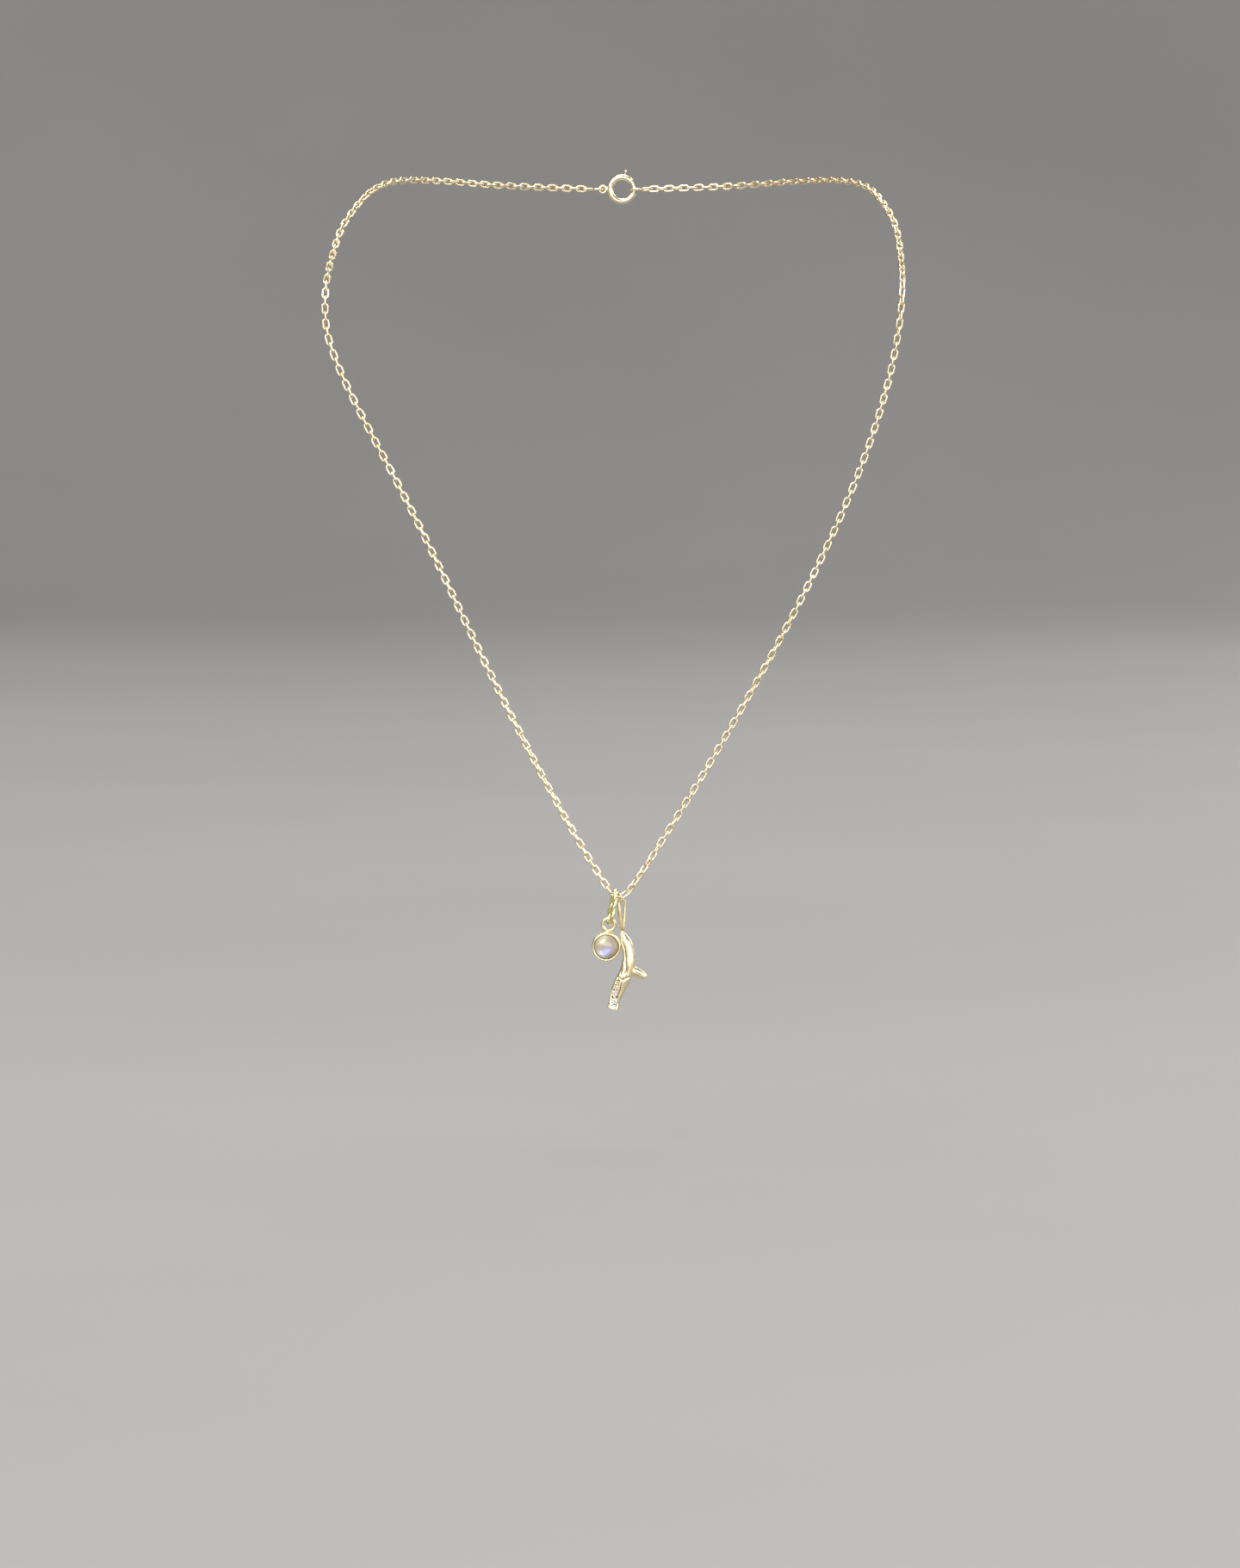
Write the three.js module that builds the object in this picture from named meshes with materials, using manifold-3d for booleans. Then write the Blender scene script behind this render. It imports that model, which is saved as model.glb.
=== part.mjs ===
// Pendant necklace: a fine cable chain that hangs in a V from the neck, a twig shaped
// pendant with five small stones, and a round bezel charm on an oval rope ring beside it.
// Millimetres, +Z up, +X to the viewer's right, front faces -Y.
// The origin is the centre of the neck loop at the height of the nape.
import * as THREE from "three";
import { mergeVertices } from "three/addons/utils/BufferGeometryUtils.js";
import Module from "manifold-3d";

const wasm = await Module();
wasm.setup();

// ---------------------------------------------------------------- driving dimensions
const FRONT_Y = -21; // the V hangs in this vertical plane
const V_BOTTOM_Z = -127; // height of the V's bottom below the nape

const CHAIN_R = 0.6; // half the width of the cable chain's envelope
const TIP_R = 0.24; // the envelope narrows to one wire's crossing at each pivot
const TIP_LEN = 0.8;
const JOINT_GAP = 0.15; // from a pivot to the end of each stretch
const SIDES = 8;

// Heights of the pivots above the V's bottom, then points of the V between them.
const V_LEFT = [
  [[-51.68, 100], [-49.74, 94.33], [-47.12, 88.67], [-44.2, 83]],
  [[-44.2, 83], [-41.2, 77.33], [-38.25, 71.67], [-35.4, 66]],
  [[-35.4, 66], [-32.64, 60.33], [-29.94, 54.67], [-27.26, 49]],
  [[-27.26, 49], [-24.56, 43.33], [-21.81, 37.67], [-18.99, 32]],
  [[-18.99, 32], [-16.18, 26.5], [-13.29, 21], [-10.29, 15.5]],
  [[-10.29, 15.5], [-7.94, 11.33], [-5.49, 7.17], [-1.9, 1.6]],
];
const V_RIGHT = [
  [[49.08, 100], [48.01, 94.33], [46.57, 88.67], [44.83, 83]],
  [[44.83, 83], [42.82, 77.33], [40.58, 71.67], [38.14, 66]],
  [[38.14, 66], [35.51, 60.33], [32.73, 54.67], [29.81, 49]],
  [[29.81, 49], [26.78, 43.33], [23.65, 37.67], [20.44, 32]],
  [[20.44, 32], [17.25, 26.5], [13.98, 21], [10.62, 15.5]],
  [[10.62, 15.5], [8, 11.33], [5.29, 7.17], [1.6, 1.62]],
];
// The lowest links, which carry both pendants.
const V_FLOOR = [
  [-1.78, 0, 1.42], [-1.35, -0.04, 1.04], [-0.9, -0.24, 0.76], [-0.48, -0.42, 0.6],
  [-0.1, 0, 0.56], [0.26, 0.42, 0.6], [0.68, 0.24, 0.76], [1.1, 0.05, 1.08],
  [1.48, 0, 1.46],
];
const V_FLOOR_R = 0.14;

// The small upright link that both ends of the V's lowest links pass through.
const DROP = { x: -0.1, z: 0.18, halfHeight: 0.75, halfWidth: 0.36, r: 0.15, turn: 34 };

// Over the shoulders and round the nape: x, distance behind the V's plane, height above its bottom.
const SHOULDER_LEFT = [
  [-51.68, 0, 100], [-52.15, 0, 104], [-52.08, 0.1, 107.4], [-51.95, 0.7, 109.24],
  [-51.7, 1.9, 111.08], [-51.35, 3.3, 112.92], [-50.84, 4.8, 114.77], [-50.4, 6.5, 116.63],
  [-49.79, 8.3, 118.49], [-48.89, 10.2, 120.36], [-47.69, 12.2, 122.24],
];
const NAPE_LEFT_1 = [
  [-47.69, 12.2, 122.24], [-46.34, 14.8, 124.1], [-44.66, 18, 125.9],
  [-42.09, 22, 127.4], [-38.9, 26.5, 128.1], [-34.9, 30.8, 128.2],
];
const NAPE_LEFT_2 = [
  [-34.9, 30.8, 128.2], [-29.6, 35.3, 128], [-23.4, 39.5, 127.6],
  [-16.4, 43, 127.3], [-5.65, 46.3, 127],
];
const SHOULDER_RIGHT = [
  [49.08, 0, 100], [49.6, 0, 104], [49.85, 0.1, 107.42], [49.92, 0.6, 109.24],
  [49.94, 1.6, 111.07], [49.82, 3, 112.92], [49.69, 4.6, 114.76], [49.51, 6.2, 116.62],
  [49.25, 7.9, 118.48], [48.69, 9.8, 120.35], [47.86, 11.8, 122.23],
];
const NAPE_RIGHT_1 = [
  [47.86, 11.8, 122.23], [46.69, 14.4, 124.1], [45.34, 17.6, 125.9],
  [42.9, 22, 127.4], [39.5, 26.6, 128.1], [35.2, 31, 128.2],
];
const NAPE_RIGHT_2 = [
  [35.2, 31, 128.2], [30, 35.4, 128], [23.6, 39.6, 127.6],
  [16.6, 43.1, 127.3], [4.65, 46.4, 127],
];

// Spring ring clasp, at the middle of the nape.
const CLASP_C = [0.35, 46.5, 127];
const CLASP_R = 2.2; // centre line of the ring
const CLASP_TUBE_R = 0.55;
const CLASP_BORE_R = 0.38;
const BOLT_R = 0.27;
const GAP_DEG = [-20, 40]; // the mouth, from +X towards +Z

// Oval rope ring that carries the charm.
const ROPE_R = 0.4; // two strands twisted together
const ROPE_TOP = 1.5, ROPE_END = -4.2; // centre line, above the V's bottom
const ROPE_HALF_W = 1.5;
const ROPE_X_TOP = -0.83, ROPE_LEAN = 0.188; // it leans left as it goes down

// Charm.
const EYE = { x: -2.0, z: -4.48, major: 1.09, minor: 0.29 };
const BEZEL = { x: -2.43, z: -8.45, r: 2.59, wall: 0.42, front: -0.75, back: 1.1 };
const CAB = { r: 2.1, base: 0.78, girdle: -0.55, apex: -1.85 };

// Twig pendant: centre line x, z and half width of the trunk from top to cut end.
const TRUNK = [
  [0.36, -5.9, 0.3], [0.7, -6.6, 0.62], [1.1, -7.67, 0.95], [1.42, -9.05, 1.04],
  [1.6, -10.28, 1.1], [1.51, -11.5, 1.2], [1.19, -13.04, 1.26], [0.61, -14.27, 1.3],
  [-0.05, -15.49, 1.25], [-0.61, -16.97, 1.12], [-0.93, -17.95, 1.03],
  [-1.06, -18.71, 1.07], [-1.21, -19.45, 1.14],
];
const TRUNK_DEPTH = 0.92; // depth over width
const TWIG = [
  [1.3, -12.35, 0.7], [2.3, -12.72, 0.86], [3.29, -13.2, 0.74], [3.95, -13.52, 0.5],
  [4.25, -13.65, 0.36], [4.42, -13.71, 0.16],
];
// Wire loop at the top of the twig: x, y, z of its centre line and its half thickness, all round.
const BAIL = [
  [-0.1, -0.05, -0.19, 0.19], [-0.17, -0.4, -0.42, 0.21], [-0.21, -0.58, -0.95, 0.27],
  [-0.12, -0.6, -1.9, 0.29], [0.01, -0.55, -3.1, 0.29], [0.17, -0.45, -4.3, 0.3],
  [0.3, -0.26, -5.2, 0.3], [0.42, 0.06, -5.5, 0.28], [0.56, 0.36, -5.1, 0.22],
  [0.7, 0.62, -4.1, 0.2], [0.81, 0.85, -2.6, 0.2], [0.89, 0.96, -1.4, 0.2],
  [0.88, 0.95, -0.6, 0.2], [0.62, 0.76, -0.2, 0.19], [0.22, 0.35, -0.12, 0.19],
];

// Round stones set in the trunk: x, z, diameter, turn to the left in degrees.
const STONES = [
  [-1.04, -18.2, 1.09, 4], [-1.04, -16.7, 0.83, 18], [-0.66, -15.67, 0.61, 20],
  [-0.46, -14.8, 0.46, 28], [-0.21, -14.1, 0.34, 33],
];
const SEAT_GAP = 0.035;

// ---------------------------------------------------------------- materials
const gold = (color, roughness) =>
  new THREE.MeshStandardMaterial({ color, roughness, metalness: 1 });
const CHAIN_GOLD = gold(0xd9bf8c, 0.22);
const TWIG_GOLD = gold(0xdcc489, 0.3);
const ROPE_GOLD = gold(0xcfc07a, 0.3);
const BEZEL_GOLD = gold(0xd8c68e, 0.22);
const CLASP_GOLD = gold(0xd9bf8c, 0.25);
const MOONSTONE = new THREE.MeshStandardMaterial({ color: 0xddd6c4, roughness: 0.12, metalness: 0 });
const DIAMOND = new THREE.MeshStandardMaterial({ color: 0xf4f6fa, roughness: 0.03, metalness: 0 });

// ---------------------------------------------------------------- helpers
const group = new THREE.Group();
const hang = new THREE.Group(); // holds everything, measured from the V's bottom
hang.position.set(0, FRONT_Y, V_BOTTOM_Z);
group.add(hang);

function add(name, geometry, material) {
  const mesh = new THREE.Mesh(geometry, material);
  mesh.name = name;
  hang.add(mesh);
  return mesh;
}

const vec = (p) => new THREE.Vector3(p[0], p[1], p[2]);

// Position only, shared vertices merged, faces out.
function bare(g) {
  const c = g.clone();
  for (const k of Object.keys(c.attributes)) if (k !== "position") c.deleteAttribute(k);
  const m = mergeVertices(c, 1e-4);
  const p = m.attributes.position, ix = m.index;
  const a = new THREE.Vector3(), b = new THREE.Vector3(), d = new THREE.Vector3();
  let volume = 0;
  for (let i = 0; i < ix.count; i += 3) {
    a.fromBufferAttribute(p, ix.getX(i));
    b.fromBufferAttribute(p, ix.getX(i + 1));
    d.fromBufferAttribute(p, ix.getX(i + 2));
    volume += a.dot(b.cross(d));
  }
  if (volume < 0)
    for (let i = 0; i < ix.count; i += 3) {
      const t = ix.getX(i + 1);
      ix.setX(i + 1, ix.getX(i + 2));
      ix.setX(i + 2, t);
    }
  return m;
}

function solid(g) {
  const m = bare(g);
  return new wasm.Manifold(
    new wasm.Mesh({
      numProp: 3,
      vertProperties: m.attributes.position.array,
      triVerts: new Uint32Array(m.index.array),
    }),
  );
}

function fromSolid(s) {
  const m = s.getMesh(), n = m.numProp;
  const v = new Float32Array(m.numVert * 3);
  for (let i = 0; i < m.numVert; i++) v.set(m.vertProperties.subarray(i * n, i * n + 3), i * 3);
  const g = new THREE.BufferGeometry();
  g.setAttribute("position", new THREE.BufferAttribute(v, 3));
  g.setIndex(new THREE.BufferAttribute(new Uint32Array(m.triVerts), 1));
  g.computeVertexNormals();
  return g;
}

function polygon(sides) {
  const s = new THREE.Shape();
  for (let i = 0; i < sides; i++) {
    const a = ((i + 0.5) / sides) * 2 * Math.PI;
    if (i) s.lineTo(Math.cos(a), Math.sin(a));
    else s.moveTo(Math.cos(a), Math.sin(a));
  }
  s.closePath();
  return s;
}

// A straight bar of unit radius, bent along a curve. stations are distances along it and
// radii gives the half width along the reference direction and across it at each one.
function rod(curve, stations, radii, ref, sides = SIDES) {
  const steps = stations.length - 1, total = curve.getLength();
  const g = new THREE.ExtrudeGeometry(polygon(sides), { depth: 1, steps, bevelEnabled: false });
  const rings = stations.map((s, k) => {
    const u = Math.min(1, Math.max(0, s / total));
    const p = curve.getPointAt(u), t = curve.getTangentAt(u).normalize();
    const n = ref.clone().addScaledVector(t, -ref.dot(t)).normalize();
    const b = t.clone().cross(n);
    const r = radii(s, total, k);
    return { p, n, b, rn: r[0], rb: r[1] };
  });
  const pos = g.attributes.position, v = new THREE.Vector3();
  for (let i = 0; i < pos.count; i++) {
    const k = Math.round(pos.getZ(i) * steps), q = rings[k];
    v.copy(q.p).addScaledVector(q.n, pos.getX(i) * q.rn).addScaledVector(q.b, pos.getY(i) * q.rb);
    pos.setXYZ(i, v.x, v.y, v.z);
  }
  return bare(g);
}

function spline(points) {
  const c = new THREE.CatmullRomCurve3(points.map(vec), false, "centripetal");
  c.arcLengthDivisions = 400;
  return c;
}

// A stretch of chain between two pivots, tapered at both.
function stretch(name, points, ref, every = 2.6) {
  const c = spline(points), total = c.getLength();
  const from = JOINT_GAP, to = total - JOINT_GAP;
  const n = Math.max(2, Math.round((to - from - 2 * TIP_LEN) / every));
  const st = [from];
  for (let i = 0; i <= n; i++) st.push(from + TIP_LEN + ((to - from - 2 * TIP_LEN) * i) / n);
  st.push(to);
  const g = rod(c, st, (s, l, k) => {
    const r = k === 0 || k === st.length - 1 ? TIP_R : CHAIN_R;
    return [r, r];
  }, ref);
  add(name, g, CHAIN_GOLD);
}

// A closed ring of round wire along path(u), u from 0 to 1.
function loop(path, r, ref, sides = 10, around = 40) {
  const g = new THREE.TorusGeometry(1, 0.5, sides, around);
  const pos = g.attributes.position, d = 1e-4;
  for (let i = 0; i < pos.count; i++) {
    const x = pos.getX(i), y = pos.getY(i), z = pos.getZ(i);
    const k = Math.round(((Math.atan2(y, x) / (2 * Math.PI) + 1) % 1) * around) % around;
    const u = k / around;
    const p = path(u), t = path((u + d) % 1).clone().sub(path((u - d + 1) % 1)).normalize();
    const n = ref.clone().addScaledVector(t, -ref.dot(t)).normalize();
    const b = n.clone().cross(t);
    const c = (Math.hypot(x, y) - 1) / 0.5, s = z / 0.5;
    const w = typeof r === "function" ? r(u) : r;
    const q = p.clone().addScaledVector(n, c * w).addScaledVector(b, s * w);
    pos.setXYZ(i, q.x, q.y, q.z);
  }
  return bare(g);
}

const X = new THREE.Vector3(1, 0, 0), Y = new THREE.Vector3(0, 1, 0), Z = new THREE.Vector3(0, 0, 1);

// ---------------------------------------------------------------- chain
V_LEFT.forEach((p, i) => stretch(`chain_left_${i + 1}`, p.map((q) => [q[0], 0, q[1]]), Y));
V_RIGHT.forEach((p, i) => stretch(`chain_right_${i + 1}`, p.map((q) => [q[0], 0, q[1]]), Y));
{
  const c = spline(V_FLOOR), total = c.getLength();
  const st = Array.from({ length: 21 }, (_, i) => 0.05 + ((total - 0.1) * i) / 20);
  add("chain_v_bottom", rod(c, st, () => [V_FLOOR_R, V_FLOOR_R], Z), CHAIN_GOLD);
}
stretch("shoulder_left", SHOULDER_LEFT, X);
stretch("shoulder_right", SHOULDER_RIGHT, X);
stretch("nape_left_1", NAPE_LEFT_1, Z);
stretch("nape_right_1", NAPE_RIGHT_1, Z);
stretch("nape_left_2", NAPE_LEFT_2, Z);
stretch("nape_right_2", NAPE_RIGHT_2, Z);

// ---------------------------------------------------------------- clasp
const onClasp = (deg, r = CLASP_R) => [
  CLASP_C[0] + r * Math.cos((deg * Math.PI) / 180),
  CLASP_C[1],
  CLASP_C[2] + r * Math.sin((deg * Math.PI) / 180),
];
function arcRod(fromDeg, toDeg, rn, rb, r = CLASP_R, sides = 12, every = 9) {
  const n = Math.max(2, Math.round(Math.abs(toDeg - fromDeg) / every));
  const pts = Array.from({ length: n * 4 + 1 }, (_, i) =>
    onClasp(fromDeg + ((toDeg - fromDeg) * i) / (n * 4), r));
  const c = spline(pts), total = c.getLength();
  const st = Array.from({ length: n + 1 }, (_, i) => (total * i) / n);
  return rod(c, st, () => [rn, rb], Y, sides);
}
{
  const shell = solid(arcRod(GAP_DEG[1], 360 + GAP_DEG[0], CLASP_TUBE_R, CLASP_TUBE_R));
  const bore = solid(arcRod(GAP_DEG[1] - 6, 172, CLASP_BORE_R, CLASP_BORE_R));
  const socket = solid(arcRod(331, 343, CLASP_BORE_R, CLASP_BORE_R));
  const slot = solid(arcRod(70, 136, 0.19, 0.5, CLASP_R + 0.55, 4, 6));
  add("clasp_ring", fromSolid(shell.subtract(bore).subtract(socket).subtract(slot)), CLASP_GOLD);

  const wire = solid(arcRod(-24, 108, BOLT_R, BOLT_R, CLASP_R, 10));
  const stem = new THREE.CylinderGeometry(0.13, 0.13, 1.1, 10);
  stem.translate(0, CLASP_R + 0.6, 0);
  const knob = new THREE.SphereGeometry(0.26, 12, 8);
  knob.translate(0, CLASP_R + 1.15, 0);
  const lever = solid(stem).add(solid(knob));
  const g = fromSolid(lever);
  g.rotateX(Math.PI / 2); // stand it along +Z, in the ring's plane
  g.rotateY(((90 - 78) * Math.PI) / 180);
  g.translate(...CLASP_C);
  add("clasp_bolt", fromSolid(wire.add(solid(g))), CLASP_GOLD);

  add("clasp_spring", arcRod(112, 168, 0.25, 0.25, CLASP_R, 8), CLASP_GOLD);

  const eye = new THREE.TorusGeometry(0.62, 0.2, 10, 24);
  eye.rotateX(Math.PI / 2);
  const ex = CLASP_C[0] - CLASP_R - CLASP_TUBE_R - 0.05 - 0.72;
  eye.translate(ex, CLASP_C[1], CLASP_C[2]);
  const around = new THREE.TorusGeometry(CLASP_R, CLASP_TUBE_R + 0.03, 16, 60);
  around.rotateX(Math.PI / 2);
  around.translate(...CLASP_C);
  add("clasp_eye", fromSolid(solid(eye).subtract(solid(around))), CLASP_GOLD);

  // The ring at the chain's left end lies across the eye.
  const jump = new THREE.TorusGeometry(0.95, 0.19, 10, 28);
  jump.translate(ex - 1.0, CLASP_C[1], CLASP_C[2]);
  add("clasp_jump_ring", bare(jump), CLASP_GOLD);

  // The ring at the chain's right end is caught by the bolt.
  const hold = new THREE.TorusGeometry(1.1, 0.24, 10, 32);
  hold.translate(CLASP_C[0] + CLASP_R + 0.42, CLASP_C[1], CLASP_C[2]);
  add("catch_ring", bare(hold), CLASP_GOLD);
}

// ---------------------------------------------------------------- rope ring and charm
{
  const zc = ROPE_TOP - ROPE_HALF_W, ze = ROPE_END + ROPE_HALF_W; // centres of the two round ends
  const straight = zc - ze, half = Math.PI * ROPE_HALF_W, total = 2 * straight + 2 * half;
  const path = (u) => {
    let s = u * total, y, z;
    if (s < half) {
      const a = s / ROPE_HALF_W;
      y = -ROPE_HALF_W * Math.cos(a);
      z = zc + ROPE_HALF_W * Math.sin(a);
    } else if (s < half + straight) {
      y = ROPE_HALF_W;
      z = zc - (s - half);
    } else if (s < 2 * half + straight) {
      const a = (s - half - straight) / ROPE_HALF_W;
      y = ROPE_HALF_W * Math.cos(a);
      z = ze - ROPE_HALF_W * Math.sin(a);
    } else {
      y = -ROPE_HALF_W;
      z = ze + (s - 2 * half - straight);
    }
    return new THREE.Vector3(ROPE_X_TOP - ROPE_LEAN * (ROPE_TOP - z), y, z);
  };
  add("rope_ring", loop(path, ROPE_R, X, 10, 44), ROPE_GOLD);
}
{
  const ring = new THREE.TorusGeometry(EYE.major, EYE.minor, 10, 32);
  ring.rotateX(Math.PI / 2);
  ring.translate(EYE.x, 0, EYE.z);
  const saddle = new THREE.SphereGeometry(0.8, 16, 10);
  saddle.scale(1, 0.62, 0.55);
  saddle.translate(-2.25, 0, -5.95);
  const clear = new THREE.CylinderGeometry(BEZEL.r + 0.04, BEZEL.r + 0.04, 6, 64);
  clear.translate(BEZEL.x, 0, BEZEL.z);
  add("charm_eye", fromSolid(solid(ring).add(solid(saddle)).subtract(solid(clear))), BEZEL_GOLD);
}
{
  // Profiles turn about the local Y axis, which points to the back.
  const inner = BEZEL.r - BEZEL.wall;
  const cup = new THREE.LatheGeometry(
    [
      [0, BEZEL.back], [BEZEL.r - 0.12, BEZEL.back], [BEZEL.r, BEZEL.back - 0.12],
      [BEZEL.r, BEZEL.front + 0.16], [BEZEL.r - 0.14, BEZEL.front],
      [inner - 0.1, BEZEL.front], [inner, CAB.girdle - 0.02], [inner, CAB.base + 0.04],
      [0, CAB.base + 0.04],
    ].map((p) => new THREE.Vector2(p[0], p[1])),
    48,
  );
  cup.translate(BEZEL.x, 0, BEZEL.z);
  add("bezel_cup", bare(cup), BEZEL_GOLD);

  const r = CAB.r, rise = CAB.girdle - CAB.apex;
  const dome = [[0, CAB.base], [r, CAB.base], [r, CAB.girdle]];
  for (let i = 1; i <= 6; i++) {
    const a = (i / 6) * (Math.PI / 2);
    dome.push([i === 6 ? 0 : (r - 0.0) * Math.cos(a), CAB.girdle - rise * Math.sin(a)]);
  }
  const cab = new THREE.LatheGeometry(dome.map((p) => new THREE.Vector2(p[0], p[1])), 48);
  cab.translate(BEZEL.x, 0, BEZEL.z);
  add("moonstone", bare(cab), MOONSTONE);
}

// ---------------------------------------------------------------- twig pendant
const trunkCurve = spline(TRUNK.map((q) => [q[0], 0, q[1]]));
{
  const lengths = [0];
  for (let i = 1; i < TRUNK.length; i++)
    lengths.push(lengths[i - 1] + Math.hypot(TRUNK[i][0] - TRUNK[i - 1][0], TRUNK[i][1] - TRUNK[i - 1][1]));
  const full = lengths[lengths.length - 1], total = trunkCurve.getLength();
  const half = (s) => {
    const q = (s / total) * full;
    let i = 1;
    while (i < lengths.length - 1 && lengths[i] < q) i++;
    const f = Math.min(1, Math.max(0, (q - lengths[i - 1]) / (lengths[i] - lengths[i - 1])));
    return TRUNK[i - 1][2] + f * (TRUNK[i][2] - TRUNK[i - 1][2]);
  };
  const st = Array.from({ length: 23 }, (_, i) => (total * i) / 22);
  const trunk = solid(rod(trunkCurve, st, (s) => [half(s) * TRUNK_DEPTH, half(s)], Y, 18));
  const twigCurve = spline(TWIG.map((q) => [q[0], 0, q[1]]));
  const tl = twigCurve.getLength();
  const at = [0, 0.33, 0.62, 0.83, 0.94, 1];
  const rr = TWIG.map((q) => q[2]);
  const twig = solid(rod(twigCurve, at.map((u) => u * tl), (s, l, k) => [rr[k] * 0.9, rr[k]], Y, 14));
  let body = trunk.add(twig);

  // Seats for the stones, and the stones themselves, at the front of the trunk.
  const centreAt = (z) => {
    for (let i = 1; i < TRUNK.length; i++)
      if (z >= TRUNK[i][1]) {
        const f = (z - TRUNK[i - 1][1]) / (TRUNK[i][1] - TRUNK[i - 1][1]);
        return [TRUNK[i - 1][0] + f * (TRUNK[i][0] - TRUNK[i - 1][0]), TRUNK[i - 1][2] + f * (TRUNK[i][2] - TRUNK[i - 1][2])];
      }
    return [TRUNK[TRUNK.length - 1][0], TRUNK[TRUNK.length - 1][2]];
  };
  STONES.forEach(([x, z, d, turn], i) => {
    const [cx, a] = centreAt(z);
    const y = -a * TRUNK_DEPTH * Math.sqrt(Math.max(0.05, 1 - ((x - cx) / a) ** 2)) + 0.03;
    const r = d / 2;
    const profile = (grow) => [
      [0, -0.17 * d - (grow ? 0.6 : 0)],
      [0.56 * r + (grow ? 0.44 * r + grow : 0), -0.17 * d - (grow ? 0.6 : 0)],
      [r + grow, -0.02 * d], [r + grow, 0.02 * d + grow],
      [0, 0.44 * d + (grow ? grow * 1.6 : 0)],
    ].map((p) => new THREE.Vector2(p[0], p[1]));
    const place = (g) => {
      g.rotateZ((-turn * Math.PI) / 180);
      g.translate(x, y, z);
      return g;
    };
    const sides = i < 2 ? 16 : 12;
    add(`pave_stone_${i + 1}`, bare(place(new THREE.LatheGeometry(profile(0), sides))), DIAMOND);
    body = body.subtract(solid(place(new THREE.LatheGeometry(profile(SEAT_GAP), sides))));
  });
  add("branch_body", fromSolid(body), TWIG_GOLD);
}
{
  const c = new THREE.CatmullRomCurve3(BAIL.map(vec), true, "centripetal");
  const n = BAIL.length;
  const thick = (u) => {
    const k = Math.floor(u * n) % n, f = u * n - Math.floor(u * n);
    return BAIL[k][3] + f * (BAIL[(k + 1) % n][3] - BAIL[k][3]);
  };
  add("branch_bail", loop((u) => c.getPoint(u), thick, X, 10, 60), TWIG_GOLD);

  // Upright link: two straight sides and two round ends, turned about +Z.
  const R = DROP.halfWidth, straight = 2 * (DROP.halfHeight - R), half = Math.PI * R;
  const total = 2 * straight + 2 * half, w = (DROP.turn * Math.PI) / 180;
  const path = (u) => {
    let q = u * total, a, x, z;
    if (q < half) {
      a = q / R;
      x = -R * Math.cos(a);
      z = DROP.halfHeight - R + R * Math.sin(a);
    } else if (q < half + straight) {
      x = R;
      z = DROP.halfHeight - R - (q - half);
    } else if (q < 2 * half + straight) {
      a = (q - half - straight) / R;
      x = R * Math.cos(a);
      z = -(DROP.halfHeight - R) - R * Math.sin(a);
    } else {
      x = -R;
      z = -(DROP.halfHeight - R) + (q - 2 * half - straight);
    }
    return new THREE.Vector3(DROP.x + x * Math.cos(w), -x * Math.sin(w), DROP.z + z);
  };
  const across = new THREE.Vector3(Math.sin(w), Math.cos(w), 0);
  add("drop_link", loop(path, DROP.r, across, 10, 36), CHAIN_GOLD);
}

export default group;
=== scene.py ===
import math
import bpy
import numpy as np
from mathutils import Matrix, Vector

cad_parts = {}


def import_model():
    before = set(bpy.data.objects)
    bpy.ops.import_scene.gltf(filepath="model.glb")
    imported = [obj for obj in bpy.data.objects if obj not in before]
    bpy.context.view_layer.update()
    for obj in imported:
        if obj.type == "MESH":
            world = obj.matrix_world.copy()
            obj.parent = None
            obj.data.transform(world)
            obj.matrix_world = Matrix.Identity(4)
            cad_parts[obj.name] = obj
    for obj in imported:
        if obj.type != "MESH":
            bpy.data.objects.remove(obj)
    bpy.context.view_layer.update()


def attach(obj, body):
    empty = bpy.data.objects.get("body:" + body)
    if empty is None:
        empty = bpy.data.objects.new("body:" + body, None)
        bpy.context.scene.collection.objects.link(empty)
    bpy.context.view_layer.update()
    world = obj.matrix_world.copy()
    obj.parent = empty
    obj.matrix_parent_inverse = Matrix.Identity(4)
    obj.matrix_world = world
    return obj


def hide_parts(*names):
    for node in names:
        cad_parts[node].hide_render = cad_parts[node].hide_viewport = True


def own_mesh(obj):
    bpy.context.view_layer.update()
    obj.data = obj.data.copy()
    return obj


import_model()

# Everything is modelled in millimetres from the bottom of the V, then moved into the row frame.
FRONT_Y, V_BOTTOM_Z = -21.0, -127.0
rng = np.random.default_rng(7)


def world(v):
    v = np.asarray(v, float).reshape(-1, 3)
    return np.c_[v[:, 0], v[:, 1] + FRONT_Y, v[:, 2] + V_BOTTOM_Z] / 1000.0


# ------------------------------------------------------------------ camera
ELEV = math.radians(4.0)
DIST = 1.1
FRAME_H = 1821 * 0.000153
aim = Vector(world([0, 0, 20.58])[0])
cam_data = bpy.data.cameras.new("camera")
cam = bpy.data.objects.new("camera", cam_data)
bpy.context.scene.collection.objects.link(cam)
cam.location = aim - Vector((0, math.cos(ELEV), -math.sin(ELEV))) * DIST
cam.rotation_euler = (math.pi / 2 - ELEV, 0, 0)
cam_data.sensor_fit = "AUTO"
cam_data.sensor_width = 36.0
cam_data.lens = 36.0 * DIST / FRAME_H
cam_data.clip_start = 0.05
cam_data.clip_end = 20.0
cam_data.dof.use_dof = False
bpy.context.scene.camera = cam


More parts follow.
